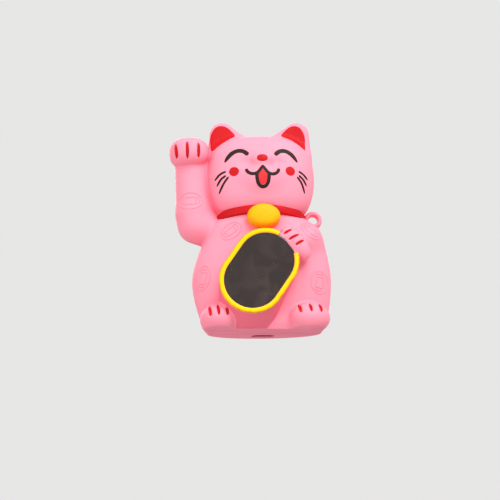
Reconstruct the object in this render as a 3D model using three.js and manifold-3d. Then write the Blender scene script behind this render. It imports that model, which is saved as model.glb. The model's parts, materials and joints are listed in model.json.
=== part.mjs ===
// A hand-held cartridge battery in the form of a beckoning cat.
// Two moulded half shells, front and back, close round a cell, a cartridge well with its
// screw connector, a display behind a smoked window, a power button and a charging port.
import * as THREE from 'three';
import { mergeVertices } from 'three/addons/utils/BufferGeometryUtils.js';
import Module from 'manifold-3d';

const wasm = await Module();
wasm.setup();

// ---- Driving dimensions, in millimetres --------------------------------------------------
// x = 0 is the face's midline, y = 0 the parting plane (front is -y), z = 0 the base.
const WALL = 1.6;
const GAP = 0.3;
const PARTING = GAP / 2;

const HEAD = { x: 0.2, z: 65.4, halfWidth: 22.3, halfHeight: 17.2, front: 14.4, back: 12.6, power: 2.5 };
const JAW = { x: 0.4, z: 60, halfWidth: 20.8, halfHeight: 14, front: 14.2, back: 12.2, power: 3 };
const CROWN = 81.9;
const MUZZLE = { x: 0.1, y: -10.2, z: 61.5, radii: [9.5, 5.2, 6.2] };
const EAR = { tip: [15.4, 83.45], outer: [16.2, 75], inner: [8.4, 78], round: 5.15, front: 4.6, back: 3.4 };

// z, half width, depth in front of the parting plane, depth behind it
const BODY_SECTIONS = [
  [0, 22.8, 8.4, 9.4],
  [1.6, 24.2, 9.3, 10.4],
  [6, 25.7, 10.2, 11.5],
  [14, 27.5, 11.6, 12.5],
  [22, 28.2, 12.3, 12.8],
  [31, 26.9, 12.4, 12.6],
  [38, 25.4, 12.0, 11.8],
  [43.5, 23.0, 11.4, 10.8],
  [47.5, 18.0, 11.3, 10.4],
  [54, 16.5, 10.8, 10.0],
];
const BODY_POWER = 2.2;
const COLLAR = { low: 44.2, high: 48.4, halfWidth: 19.1, front: 12.5, back: 11.5 };
const MEDALLION = { x: 0.3, y: -12.2, z: 45.2, radii: [6.7, 3.9, 5.0] };

const ARM = { path: [[-27.6, 71], [-27.4, 50], [-26.4, 45.2], [-19.5, 42.2]], radius: 6.8, y: -0.6 };
const ARMPIT = { from: [-21.5, 0, 70], to: [-19.5, 0, 46], radius: 5.6 };
const RAISED_PAW = { x: -28.8, y: -4.4, z: 74.8, radii: [8.0, 7.6, 6.2] };
const HOLDING_PAW = { x: 12.2, y: -14.3, z: 33.2, radii: [4.1, 4.4, 7.9], turn: -38 };
const FOREARM = { from: [13.5, -10.5, 34.5], to: [19.0, -6.0, 38.0], radius: 4.6 };
const LEFT_FOOT = { x: -18.8, y: -8.4, z: 3.9, radii: [7.1, 8.0, 6.0] };
const RIGHT_FOOT = { x: 17.4, y: -8.0, z: 4.1, radii: [8.4, 8.0, 6.2] };

const COIN = { x: -2.65, z: 21.5, tilt: 35, straight: 5.1, round: 13.0, face: -17.3 };
const RIM = { outer: 13.0, inner: 11.6, front: -18.3 };
const WINDOW = { round: 11.3, front: -17.6, back: -16.0 };
const TAPE = { round: 11.0, inner: 9.8, front: -15.7, back: -15.4 };
const RECESS_FLOOR = { front: -15.1, back: -13.7 };

const LOOP = { x: 21.9, z: 47.7, outer: 3.7, hole: 1.8, back: 4.4 };
const WELL = { hole: 7.0, outer: 6.7, bore: 6.0, bottom: 36.3, top: 81.4 };
const CELL = { radius: 7.0, length: 35, y: 0.8, z: 14.0 };
const BUTTON = { z: 26.3, hole: 4.3, cap: 4.0, flange: 5.2 };
const PORT = { y: 5.0, width: 8.94, height: 3.26, bottom: 0.5, top: 6.7 };
const SCREW = { head: 1.7, headHeight: 1.3, shank: 0.9, seat: 4.8, length: 9.3, pilot: 1.2, clearance: 1.3 };
const SCREW_PLACES = [[-21.3, 10.6], [21.3, 10.6], [-15.6, 71.5], [15.6, 71.5]];
const BOARD = { round: 9.6, front: -11.3, back: -10.3 };
const BOARD_SCREW_REACH = 11.6;

// ---- Finishes ----------------------------------------------------------------------------
const FINISHES = {
  pinkShell: { color: 0xff9db4, roughness: 0.55, metalness: 0 },
  smokedWindow: { color: 0x2b2625, roughness: 0.12, metalness: 0 },
  blackPlastic: { color: 0x1d1d1f, roughness: 0.5, metalness: 0 },
  whitePlastic: { color: 0xe9e6dd, roughness: 0.6, metalness: 0 },
  greenBoard: { color: 0x1e5a36, roughness: 0.45, metalness: 0 },
  blueCell: { color: 0x2f6fb5, roughness: 0.35, metalness: 0 },
  foam: { color: 0x3a3a3c, roughness: 0.95, metalness: 0 },
  brass: { color: 0xc9a24a, roughness: 0.3, metalness: 1 },
  steel: { color: 0xb9bcc0, roughness: 0.3, metalness: 1 },
  redLead: { color: 0xb3201c, roughness: 0.5, metalness: 0 },
  blackLead: { color: 0x18181a, roughness: 0.5, metalness: 0 },
};

// ---- Solids ------------------------------------------------------------------------------
function signedVolume(position, index) {
  const [a, b, c] = [new THREE.Vector3(), new THREE.Vector3(), new THREE.Vector3()];
  let volume = 0;
  for (let i = 0; i < index.length; i += 3) {
    a.fromArray(position, index[i] * 3);
    b.fromArray(position, index[i + 1] * 3);
    c.fromArray(position, index[i + 2] * 3);
    volume += a.dot(b.cross(c)) / 6;
  }
  return volume;
}

function solid(geometry) {
  const bare = geometry.clone();
  bare.deleteAttribute('normal');
  bare.deleteAttribute('uv');
  const merged = mergeVertices(bare, 1e-4);
  const vertProperties = new Float32Array(merged.attributes.position.array);
  const triVerts = new Uint32Array(merged.index.array);
  if (signedVolume(vertProperties, triVerts) < 0) {
    for (let i = 0; i < triVerts.length; i += 3) {
      [triVerts[i], triVerts[i + 1]] = [triVerts[i + 1], triVerts[i]];
    }
  }
  return new wasm.Manifold(new wasm.Mesh({ numProp: 3, vertProperties, triVerts }));
}

function geometryOf(manifold) {
  const mesh = manifold.getMesh();
  const geometry = new THREE.BufferGeometry();
  geometry.setAttribute('position', new THREE.BufferAttribute(new Float32Array(mesh.vertProperties), 3));
  geometry.setIndex(new THREE.BufferAttribute(new Uint32Array(mesh.triVerts), 1));
  return geometry;
}

function join(...solids) {
  return solids.reduce((whole, next) => whole.add(next));
}

// A superellipsoid whose front (-y) and back may differ in depth.
function rounded({ x, y = 0, z, radii, power = 2, back = radii[1], turn = 0, columns = 16, rows = 8 }) {
  const geometry = new THREE.SphereGeometry(1, columns, rows);
  geometry.rotateX(Math.PI / 2);
  const position = geometry.attributes.position;
  const p = new THREE.Vector3();
  for (let i = 0; i < position.count; i += 1) {
    p.fromBufferAttribute(position, i);
    const norm = Math.abs(p.x) ** power + Math.abs(p.y) ** power + Math.abs(p.z) ** power;
    p.multiplyScalar(norm ** (-1 / power));
    position.setXYZ(i, p.x * radii[0], p.y * (p.y > 0 ? back : radii[1]), p.z * radii[2]);
  }
  geometry.rotateY(THREE.MathUtils.degToRad(-turn));
  geometry.translate(x, y, z);
  return solid(geometry);
}

// A body whose level sections are superellipses: one row of [z, half width, front, back] each.
function sectioned(rows, power, columns = 28) {
  const profile = [
    new THREE.Vector2(0, rows[0][0]),
    ...rows.map(([z]) => new THREE.Vector2(1, z)),
    new THREE.Vector2(0, rows[rows.length - 1][0]),
  ];
  const geometry = new THREE.LatheGeometry(profile, columns);
  geometry.rotateX(Math.PI / 2);
  const position = geometry.attributes.position;
  for (let i = 0; i < position.count; i += 1) {
    const [x, y, z] = [position.getX(i), position.getY(i), position.getZ(i)];
    const row = rows.find(([level]) => Math.abs(level - z) < 1e-3);
    const norm = Math.abs(x) ** power + Math.abs(y) ** power;
    const reach = norm > 1e-6 ? norm ** (-1 / power) : 0;
    position.setXY(i, x * reach * row[1], y * reach * (y > 0 ? row[3] : row[2]));
  }
  return solid(geometry);
}

function capsule(from, to, radius) {
  const [a, b] = [new THREE.Vector3(...from), new THREE.Vector3(...to)];
  const span = b.clone().sub(a);
  const geometry = new THREE.CapsuleGeometry(radius, span.length(), 3, 12);
  const turn = new THREE.Quaternion().setFromUnitVectors(new THREE.Vector3(0, 1, 0), span.normalize());
  geometry.applyQuaternion(turn);
  geometry.translate(...a.add(b).multiplyScalar(0.5).toArray());
  return solid(geometry);
}

// Extrudes an outline drawn in x and z from y = front to y = back.
function slab(shape, front, back, curveSegments = 6) {
  const geometry = new THREE.ExtrudeGeometry(shape, { depth: back - front, bevelEnabled: false, curveSegments });
  geometry.rotateX(Math.PI / 2);
  geometry.translate(0, back, 0);
  return solid(geometry);
}

function block(low, high) {
  const size = high.map((value, axis) => value - low[axis]);
  const geometry = new THREE.BoxGeometry(...size);
  geometry.translate(...low.map((value, axis) => value + size[axis] / 2));
  return solid(geometry);
}

// A round bar along y.
function barY(x, z, radius, front, back, sides = 12) {
  const geometry = new THREE.CylinderGeometry(radius, radius, back - front, sides);
  geometry.translate(x, (front + back) / 2, 0);
  geometry.translate(0, 0, z);
  return solid(geometry);
}

// A round bar along z, on the well's axis.
function barZ(radius, low, high, sides = 28) {
  const geometry = new THREE.CylinderGeometry(radius, radius, high - low, sides);
  geometry.rotateX(Math.PI / 2);
  geometry.translate(0, 0, (low + high) / 2);
  return solid(geometry);
}

function barX(y, z, radius, halfLength, sides = 24) {
  const geometry = new THREE.CylinderGeometry(radius, radius, 2 * halfLength, sides);
  geometry.rotateZ(Math.PI / 2);
  geometry.translate(0, y, z);
  return solid(geometry);
}

// Turns a closed profile of [radius, z] points about the well's axis.
function turnedZ(points, columns = 20) {
  const closed = [...points, points[0]].map(([r, z]) => new THREE.Vector2(r, z));
  const geometry = new THREE.LatheGeometry(closed, columns);
  geometry.rotateX(Math.PI / 2);
  return solid(geometry);
}

// The coin's outline: two half rounds joined by straight sides, leaning to the cat's left.
function coinOutline(round, straight = COIN.straight) {
  const lean = THREE.MathUtils.degToRad(COIN.tilt);
  const [dx, dz] = [straight * Math.sin(lean), straight * Math.cos(lean)];
  const shape = new THREE.Shape();
  shape.absarc(COIN.x + dx, COIN.z + dz, round, -lean, Math.PI - lean);
  shape.absarc(COIN.x - dx, COIN.z - dz, round, Math.PI - lean, 2 * Math.PI - lean);
  shape.closePath();
  return shape;
}

function tube(points, radius, steps, sides = 8) {
  const curve = new THREE.CatmullRomCurve3(points.map((point) => new THREE.Vector3(...point)));
  const section = new THREE.Shape();
  section.absarc(0, 0, radius, 0, 2 * Math.PI);
  const options = { steps, extrudePath: curve, curveSegments: sides / 2 };
  return solid(new THREE.ExtrudeGeometry(section, options));
}

// ---- The cat's form ----------------------------------------------------------------------
const shrunk = (radii, by) => radii.map((radius) => radius - by);

function torso(inset, columns) {
  const rows = BODY_SECTIONS.filter(([z]) => z >= inset);
  return sectioned(rows.map(([z, w, f, b]) => [z, w - inset, f - inset, b - inset]), BODY_POWER, columns);
}

function egg({ x, z, halfWidth, halfHeight, front, back, power }, inset, columns) {
  const radii = shrunk([halfWidth, front, halfHeight], inset);
  return rounded({ x, z, radii, back: back - inset, power, columns, rows: columns / 2 });
}

function head(inset, columns) {
  const lid = block([-40, -40, CROWN - inset], [40, 40, CROWN + 10]);
  return join(egg(HEAD, inset, columns), egg(JAW, inset, columns)).subtract(lid);
}

function raisedArm(inset) {
  const points = ARM.path.map(([x, z]) => [x, ARM.y, z]);
  const limbs = points.slice(1).map((point, i) => capsule(points[i], point, ARM.radius - inset));
  const armpit = capsule(ARMPIT.from, ARMPIT.to, ARMPIT.radius - inset);
  return join(...limbs, armpit, rounded({ ...RAISED_PAW, radii: shrunk(RAISED_PAW.radii, inset) }));
}

function ear(side) {
  const shape = new THREE.Shape();
  const corners = [EAR.outer, EAR.inner, EAR.tip].map(([x, z]) => new THREE.Vector2(side * x, z));
  if (side > 0) corners.reverse();
  corners.forEach((corner, i) => {
    const before = corner.clone().sub(corners[(i + 2) % 3]).angle() - Math.PI / 2;
    const after = corners[(i + 1) % 3].clone().sub(corner).angle() - Math.PI / 2;
    shape.absarc(corner.x, corner.y, EAR.round, before, after < before ? after + 2 * Math.PI : after);
  });
  shape.closePath();
  return slab(shape, -EAR.front, EAR.back, 3);
}

function collarBand() {
  const { low, high, halfWidth, front, back } = COLLAR;
  const edge = 0.7;
  const rows = [[low, 1], [low + edge, 0], [high - edge, 0], [high, 1]];
  return sectioned(rows.map(([z, cut]) => [z, halfWidth - cut, front - cut, back - cut]), BODY_POWER);
}

function outerForm() {
  const coin = slab(coinOutline(COIN.round), COIN.face, -2);
  const recess = slab(coinOutline(WINDOW.round + GAP), COIN.face - 2, RECESS_FLOOR.front);
  const ring = slab(coinOutline(RIM.outer), RIM.front, COIN.face + 1)
    .subtract(slab(coinOutline(RIM.inner), RIM.front - 1, COIN.face + 2));
  const trunk = join(torso(0, 32), head(0, 28), collarBand(), ear(-1), ear(1), raisedArm(0), coin);
  const details = join(
    rounded(MUZZLE),
    rounded(MEDALLION),
    rounded(HOLDING_PAW),
    capsule(FOREARM.from, FOREARM.to, FOREARM.radius),
    rounded(LEFT_FOOT),
    rounded(RIGHT_FOOT),
    ring,
  );
  return trunk.subtract(recess).add(details).subtract(block([-60, -60, -20], [60, 60, 0]));
}

function hollow() {
  const coin = slab(coinOutline(COIN.round - WALL), RECESS_FLOOR.back, 0, 4);
  const form = join(torso(WALL, 20), head(WALL, 16), raisedArm(WALL), coin);
  return form.subtract(block([-60, -60, -20], [60, 60, WALL]));
}

const outer = outerForm();
const empty = hollow();
const FAR = 60;

function bosses(front, back, radius) {
  const posts = SCREW_PLACES.map(([x, z]) => barY(x, z, radius, front, back));
  return join(...posts).intersect(outer);
}

function boardPlaces() {
  const lean = THREE.MathUtils.degToRad(COIN.tilt);
  const [dx, dz] = [BOARD_SCREW_REACH * Math.sin(lean), BOARD_SCREW_REACH * Math.cos(lean)];
  return [[COIN.x - dx, COIN.z - dz], [COIN.x + dx, COIN.z + dz]];
}

function frontShell() {
  const boardPosts = boardPlaces().map(([x, z]) => barY(x, z, 2.0, RECESS_FLOOR.back - 0.5, BOARD.front - GAP));
  const boardPilots = boardPlaces().map(([x, z]) => barY(x, z, 1.2, RECESS_FLOOR.back, BOARD.front, 8));
  const pilots = SCREW_PLACES.map(([x, z]) => barY(x, z, SCREW.pilot, -5.6, 2, 8));
  const display = block([COIN.x - 6.3, -20, COIN.z - 4.0], [COIN.x + 6.3, -10, COIN.z + 4.0]);
  return outer.subtract(empty)
    .add(bosses(-16, 0, 2.5))
    .add(join(...boardPosts))
    .subtract(join(...pilots, ...boardPilots, display, barZ(WELL.hole, 70, 90)))
    .subtract(block([-FAR, -PARTING, -FAR], [FAR, FAR, 2 * FAR]));
}

function lanyardLoop() {
  const ring = barY(LOOP.x, LOOP.z, LOOP.outer, PARTING, LOOP.back, 16);
  return ring.subtract(barY(LOOP.x, LOOP.z, LOOP.hole, -1, LOOP.back + 1, 12));
}

function portSlot(grow, low, high) {
  const [a, r] = [PORT.width / 2 + grow, PORT.height / 2 + grow];
  const shape = new THREE.Shape();
  shape.absarc(a - r, 0, r, -Math.PI / 2, Math.PI / 2);
  shape.absarc(r - a, 0, r, Math.PI / 2, 1.5 * Math.PI);
  shape.closePath();
  const geometry = new THREE.ExtrudeGeometry(shape, { depth: high - low, bevelEnabled: false, curveSegments: 4 });
  geometry.translate(0, PORT.y, low);
  return solid(geometry);
}

function backShell() {
  const holes = SCREW_PLACES.flatMap(([x, z]) => [
    barY(x, z, SCREW.clearance, -2, 20, 8),
    barY(x, z, SCREW.head + 0.4, SCREW.seat - GAP, 20),
  ]);
  const buttonHole = barY(0, BUTTON.z, BUTTON.hole, 5, 20, 24);
  const openings = join(...holes, buttonHole, barZ(WELL.hole, 70, 90), portSlot(GAP, -1, 3));
  return outer.subtract(empty)
    .add(bosses(0, 16, 3.2))
    .subtract(block([-FAR, -FAR, -FAR], [FAR, PARTING, 2 * FAR]))
    .add(lanyardLoop().subtract(empty))
    .subtract(openings);
}

// ---- Window and display ------------------------------------------------------------------
function displayWindow() {
  const paw = rounded({ ...HOLDING_PAW, radii: shrunk(HOLDING_PAW.radii, -GAP) });
  const arm = capsule(FOREARM.from, FOREARM.to, FOREARM.radius + GAP);
  return slab(coinOutline(WINDOW.round), WINDOW.front, WINDOW.back, 8).subtract(paw).subtract(arm);
}

function windowTape() {
  const paw = rounded({ ...HOLDING_PAW, radii: shrunk(HOLDING_PAW.radii, -GAP) });
  const band = slab(coinOutline(TAPE.round), TAPE.front, TAPE.back);
  return band.subtract(slab(coinOutline(TAPE.inner), -20, -10)).subtract(paw);
}

function mainBoard() {
  const holes = boardPlaces().map(([x, z]) => barY(x, z, 1.2, -14, -8, 10));
  return slab(coinOutline(BOARD.round), BOARD.front, BOARD.back).subtract(join(...holes));
}

function onBoard(x, z, width, height, depth) {
  const [cx, cz, back] = [COIN.x + x, COIN.z + z, BOARD.back + GAP];
  return block([cx - width / 2, back, cz - height / 2], [cx + width / 2, back + depth, cz + height / 2]);
}

// ---- Cartridge well and connector --------------------------------------------------------
function cartridgeWell() {
  return barZ(WELL.outer, WELL.bottom, WELL.top).subtract(barZ(WELL.bore, WELL.bottom - 1, WELL.top + 1));
}

function connectorBody() {
  return turnedZ([[3.3, 28.5], [5.2, 28.5], [5.2, 33.7], [6.7, 33.7], [6.7, 36.0], [3.45, 36.0], [3.45, 32.3], [3.3, 32.3]]);
}

function connectorBracket() {
  return block([-12, -7, 31.0], [12, 7, 33.4]).subtract(barZ(5.5, 30, 35));
}

function insulator() {
  return turnedZ([[1.2, 28.8], [3.0, 28.8], [3.0, 32.0], [2.2, 32.0], [2.2, 29.4], [1.2, 29.4]]);
}

function contactCup() {
  return turnedZ([[0, 26.0], [2.2, 26.0], [2.2, 28.5], [1.15, 28.5], [1.15, 26.8], [0, 26.8]]);
}

function centrePin() {
  return turnedZ([[0, 27.9], [0.85, 27.9], [0.85, 32.6], [1.9, 32.6], [1.9, 33.5], [1.5, 33.9], [0, 33.9]], 16);
}

function pinSpring() {
  const [turns, low, high, radius, wire] = [3, 30.0, 32.0, 1.55, 0.22];
  const steps = turns * 12;
  const points = Array.from({ length: steps + 1 }, (_, i) => {
    const angle = (i / steps) * turns * 2 * Math.PI;
    return [radius * Math.cos(angle), radius * Math.sin(angle), low + (i / steps) * (high - low)];
  });
  return tube(points, wire, steps, 6);
}

// ---- Power, button and charging ----------------------------------------------------------
function batteryCradle() {
  const seat = block([-11, 3, 9.0], [11, 9.0, 19.5]);
  return seat.subtract(barX(CELL.y, CELL.z, CELL.radius + GAP, 20));
}

function powerButton() {
  const cap = barY(0, BUTTON.z, BUTTON.cap, 10.2, 12.9, 24);
  return barY(0, BUTTON.z, BUTTON.flange, 9.5, 10.3, 24).add(cap);
}

function usbPort() {
  const can = portSlot(0, PORT.bottom, PORT.top).subtract(portSlot(-0.3, PORT.bottom - 1, PORT.top - 0.8));
  return can.add(block([-3.35, PORT.y - 0.35, PORT.bottom + 1], [3.35, PORT.y + 0.35, PORT.top - 0.4]));
}

// A pan-head screw along y; its shank points to the front.
function screw(x, z, seat, length, headRadius = SCREW.head, headHeight = SCREW.headHeight) {
  const profile = [[0, -length], [SCREW.shank - 0.3, -length], [SCREW.shank, -length + 0.6], [SCREW.shank, 0],
    [headRadius, 0], [headRadius, headHeight * 0.6], [headRadius * 0.7, headHeight], [0, headHeight]];
  const geometry = new THREE.LatheGeometry(profile.map(([r, y]) => new THREE.Vector2(r, y)), 10);
  geometry.translate(x, seat, z);
  const slot = [headRadius * 0.6, 0.25];
  const cross = [slot, [...slot].reverse()].map(([w, h]) => block(
    [x - w, seat + headHeight * 0.5, z - h], [x + w, seat + headHeight + 1, z + h]));
  return solid(geometry).subtract(join(...cross));
}

const LEADS = {
  battery_lead_red: [[17.9, 0.8, 18.6], [19.8, -0.8, 19.6], [17, -6, 22], [9.5, -9.0, 24.2], [7.2, -9.5, 24.7]],
  battery_lead_black: [[-17.9, 0.8, 18.6], [-19.8, -0.8, 19.8], [-17, -6, 22], [-11.5, -8.8, 23.4], [-9.4, -9.4, 23.8]],
  connector_lead: [[0, 0, 25.6], [0, -0.6, 24.2], [-1, -4, 23.0], [-1.8, -8, 21.6], [-2, -9.5, 20.2]],
  switch_lead: [[-4.6, 5.2, 23.6], [-7.5, 3.5, 23.0], [-10, -2.5, 24], [-8.8, -8, 27.5], [-7.6, -9.5, 28.4]],
  charge_lead: [[-5.3, 6.6, 4.0], [-5.5, 2, 4.2], [-5.6, -4.5, 4.8], [-5.6, -8.4, 8.0], [-5.6, -9.5, 9.8]],
};
const LEAD_RADIUS = 0.5;

// ---- Assembly ----------------------------------------------------------------------------
const group = new THREE.Group();

function place(name, form, finish) {
  const mesh = new THREE.Mesh(geometryOf(form), new THREE.MeshStandardMaterial(FINISHES[finish]));
  mesh.name = name;
  group.add(mesh);
}

place('front_shell', frontShell(), 'pinkShell');
place('back_shell', backShell(), 'pinkShell');
place('display_window', displayWindow(), 'smokedWindow');
place('window_tape', windowTape(), 'blackPlastic');
place('led_display', block([COIN.x - 6, -14.6, COIN.z - 3.7], [COIN.x + 6, BOARD.front - GAP, COIN.z + 3.7]), 'blackPlastic');
place('main_board', mainBoard(), 'greenBoard');
place('controller_chip', onBoard(1.5, 9.0, 5, 5, 0.9), 'blackPlastic');
place('power_transistor', onBoard(-2.5, 3.6, 3.6, 3.6, 0.9), 'blackPlastic');
place('power_inductor', onBoard(4.4, 1.6, 4.4, 3.4, 2.0), 'blackPlastic');
place('foam_pad', block([-6.8, BOARD.back + GAP, 11], [2.2, CELL.y - CELL.radius - GAP, 16.5]), 'foam');
place('battery_cell', barX(CELL.y, CELL.z, CELL.radius, CELL.length / 2), 'blueCell');
place('battery_cradle', batteryCradle(), 'whitePlastic');
place('cartridge_well', cartridgeWell(), 'blackPlastic');
place('connector_bracket', connectorBracket(), 'whitePlastic');
place('connector_body', connectorBody(), 'brass');
place('connector_insulator', insulator(), 'whitePlastic');
place('contact_cup', contactCup(), 'brass');
place('centre_pin', centrePin(), 'brass');
place('pin_spring', pinSpring(), 'steel');
place('usb_port', usbPort(), 'steel');
place('charge_board', block([-6.2, 7.0, 2.0], [6.2, 7.8, 6.6]), 'greenBoard');
place('power_button', powerButton(), 'blackPlastic');
place('switch_plunger', barY(0, BUTTON.z, 0.9, 8.5, 9.2), 'whitePlastic');
place('tact_switch', block([-2.3, 6.7, BUTTON.z - 2.3], [2.3, 8.1, BUTTON.z + 2.3]), 'steel');
place('button_board', block([-6, 5.6, BUTTON.z - 4.2], [6, 6.4, BUTTON.z + 4.2]), 'greenBoard');
SCREW_PLACES.forEach(([x, z], i) => {
  place(`case_screw_${i + 1}`, screw(x, z, SCREW.seat, SCREW.length), 'steel');
});
boardPlaces().forEach(([x, z], i) => {
  place(`board_screw_${i + 1}`, screw(x, z, BOARD.back + GAP, 2.6, 1.5, 0.9), 'steel');
});
Object.entries(LEADS).forEach(([name, points]) => {
  place(name, tube(points, LEAD_RADIUS, 12), name.endsWith('black') ? 'blackLead' : 'redLead');
});

// The origin is the middle of the base of the whole object's box.
const box = new THREE.Box3().setFromObject(group);
group.position.set(-(box.min.x + box.max.x) / 2, -(box.min.y + box.max.y) / 2, 0);

export default group;
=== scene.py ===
import functools
import json
import math

import bmesh
import bpy
import numpy as np
from bpy.props import FloatProperty, FloatVectorProperty, IntProperty, PointerProperty
from mathutils import Matrix, Vector


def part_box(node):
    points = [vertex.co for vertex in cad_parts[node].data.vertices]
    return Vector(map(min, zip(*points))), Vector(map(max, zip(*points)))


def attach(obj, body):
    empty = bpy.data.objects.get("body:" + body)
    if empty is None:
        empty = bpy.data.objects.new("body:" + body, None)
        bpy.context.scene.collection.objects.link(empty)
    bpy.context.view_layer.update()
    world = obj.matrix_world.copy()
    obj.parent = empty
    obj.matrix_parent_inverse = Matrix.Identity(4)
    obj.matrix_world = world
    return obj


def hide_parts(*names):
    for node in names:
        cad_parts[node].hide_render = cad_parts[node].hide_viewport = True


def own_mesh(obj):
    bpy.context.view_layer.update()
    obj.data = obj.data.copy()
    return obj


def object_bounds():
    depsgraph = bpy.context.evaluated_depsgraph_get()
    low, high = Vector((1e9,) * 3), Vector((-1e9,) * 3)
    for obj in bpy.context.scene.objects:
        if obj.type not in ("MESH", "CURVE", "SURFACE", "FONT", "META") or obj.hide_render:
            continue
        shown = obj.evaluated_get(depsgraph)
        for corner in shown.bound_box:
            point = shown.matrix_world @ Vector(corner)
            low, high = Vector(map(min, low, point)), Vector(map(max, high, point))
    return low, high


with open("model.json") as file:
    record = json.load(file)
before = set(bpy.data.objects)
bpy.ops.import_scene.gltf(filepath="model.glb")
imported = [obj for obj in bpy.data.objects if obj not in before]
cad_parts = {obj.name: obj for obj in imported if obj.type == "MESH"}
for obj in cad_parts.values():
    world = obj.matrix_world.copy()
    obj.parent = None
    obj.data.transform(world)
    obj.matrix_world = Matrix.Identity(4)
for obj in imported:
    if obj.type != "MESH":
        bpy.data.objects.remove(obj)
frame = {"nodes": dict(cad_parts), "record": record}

CAD_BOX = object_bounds()

bl_info = {
    "name": "Beckoning Cat Cartridge Battery",
    "version": (1, 0, 0),
    "blender": (4, 5, 0),
    "location": "View3D > Sidebar > Cat Battery",
    "description": "Moulded cat shells, painted face, coin window and hardware around the packed frame",
    "category": "Add Mesh",
}

# Lengths below are in millimetres in the cat's own frame: x = 0 is the midline of the face,
# y = 0 the parting plane (the front is -y) and z = 0 the flat base.
MM = 0.001
WALL = 1.6
PARTING = 0.15
FAR = 60.0


def frame_origin():
    """The cat frame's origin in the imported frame: the well's axis, at the level of the base."""
    low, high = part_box("cartridge_well")
    return np.array([(low.x + high.x) / 2, (low.y + high.y) / 2, 0.0])


ORIGIN = frame_origin()


def node_box(node):
    """A CAD node's lowest and highest corners in the cat frame, in millimetres."""
    return [(np.array(corner) - ORIGIN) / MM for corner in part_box(node)]


# ---- Sizes of the cat's form -------------------------------------------------------------
HEAD = {"centre": (0.2, 0.0, 65.4), "radii": (22.3, 14.4, 17.2), "back": 12.6, "power": 2.5}
CROWN = 81.9
MUZZLE = {"centre": (0.1, -11.2, 62.0), "radii": (9.5, 5.2, 6.5)}
NOSE_BUMP = {"centre": (0.1, -14.0, 68.8), "radii": (3.2, 2.3, 2.3)}
SOCKETS = (
    {"centre": (-5.9, -17.6, 67.4), "radii": (4.2, 3.6, 2.6)},
    {"centre": (6.3, -17.6, 67.4), "radii": (4.2, 3.6, 2.6)},
)
JAW = {"centre": (0.4, 0.0, 60.0), "radii": (20.8, 14.2, 14.0), "back": 12.2, "power": 3.0}
EARS = (
    {"corners": ((-14.9, 83.4), (-15.9, 75.0), (-8.6, 78.0)), "round": 5.15},
    {"corners": ((15.9, 83.4), (16.4, 75.0), (8.1, 77.9)), "round": 5.2},
)
EAR_DEPTH = {"middle": -0.6, "half": 4.0, "edge": 1.8}
# z, middle x, half width, depth in front of the parting plane, depth behind it
BODY_SECTIONS = (
    (0.0, 0.2, 22.8, 8.4, 9.4),
    (1.6, 0.2, 24.2, 9.3, 10.4),
    (6.0, 0.2, 25.6, 10.2, 11.5),
    (14.0, -0.1, 27.4, 11.6, 12.5),
    (22.0, -0.2, 28.1, 12.3, 12.8),
    (31.0, 0.3, 26.6, 12.4, 12.6),
    (38.0, 0.9, 24.5, 12.0, 11.8),
    (43.5, 0.5, 22.4, 11.4, 10.8),
    (47.5, 0.0, 18.0, 11.3, 10.4),
    (54.0, 0.0, 16.5, 10.8, 10.0),
)
BODY_POWER = 2.2
ARM_PATH = ((-27.6, -0.6, 71.0), (-27.4, -0.4, 50.0), (-26.4, 0.2, 45.2), (-19.5, 1.4, 42.2))
ARM_RADIUS = 6.8
ARMPIT = {"start": (-21.8, 1.6, 70.0), "end": (-19.8, 1.6, 46.0), "radius": 4.4}
RAISED_PAW = {"centre": (-28.7, -4.2, 74.75), "radii": (8.1, 7.5, 6.15), "back": 6.8, "power": 2.45}
HOLDING_PAW = {"centre": (12.2, -14.3, 33.25), "radii": (4.15, 4.3, 7.9), "turn": -38.0}
PAW_LOBE = {"centre": (14.8, -13.4, 29.9), "radii": (3.3, 3.8, 3.5)}
FOREARM = {"start": (13.5, -10.5, 34.5), "end": (19.0, -6.0, 38.0), "radius": 4.6}
LEFT_FOOT = {"centre": (-18.8, -8.4, 3.9), "radii": (7.1, 8.0, 6.0)}
RIGHT_FOOT = {"centre": (17.4, -8.0, 4.1), "radii": (8.4, 8.0, 6.2)}

COIN = {"x": -2.65, "z": 21.5, "tilt": math.radians(35), "straight": 5.1, "round": 13.0, "face": -17.3}
# How the coin's block changes per millimetre behind its face: its lower end's move and radius
FLARE = {"x": -0.07, "z": -0.8, "round": -0.09, "reach": 12.0}
WINDOW = {
    "round": 11.4, "front": -17.45, "back": -16.0, "dome": 0.12, "bevel": 0.05, "bevel_from": 0.96,
}
RECESS = {"round": 11.6, "front": -15.1, "inside": -13.7}
RIM = {"round": 12.12, "y": -17.62, "flatness": 0.62, "end_size": 0.35, "end_share": 0.02}
# The share of the window's radius at each of its rings
WINDOW_RINGS = (0.02, 0.2, 0.4, 0.6, 0.75, 0.87, 0.96, 0.985, 1.0)
# The gold disc on the collar; a higher power makes its face flatter
MEDALLION = {
    "centre": (0.25, -12.1, 45.2), "radii": (6.7, 4.0, 5.0), "power": 3.2, "rows": 40, "columns": 72,
}
COLLAR = {
    "low": 43.3, "high": 46.7, "rise": 3.6, "half_width": 18.8, "front": 12.7, "back": 11.6, "edge": 0.7,
    "steps": 72, "section": 20,
}

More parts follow.
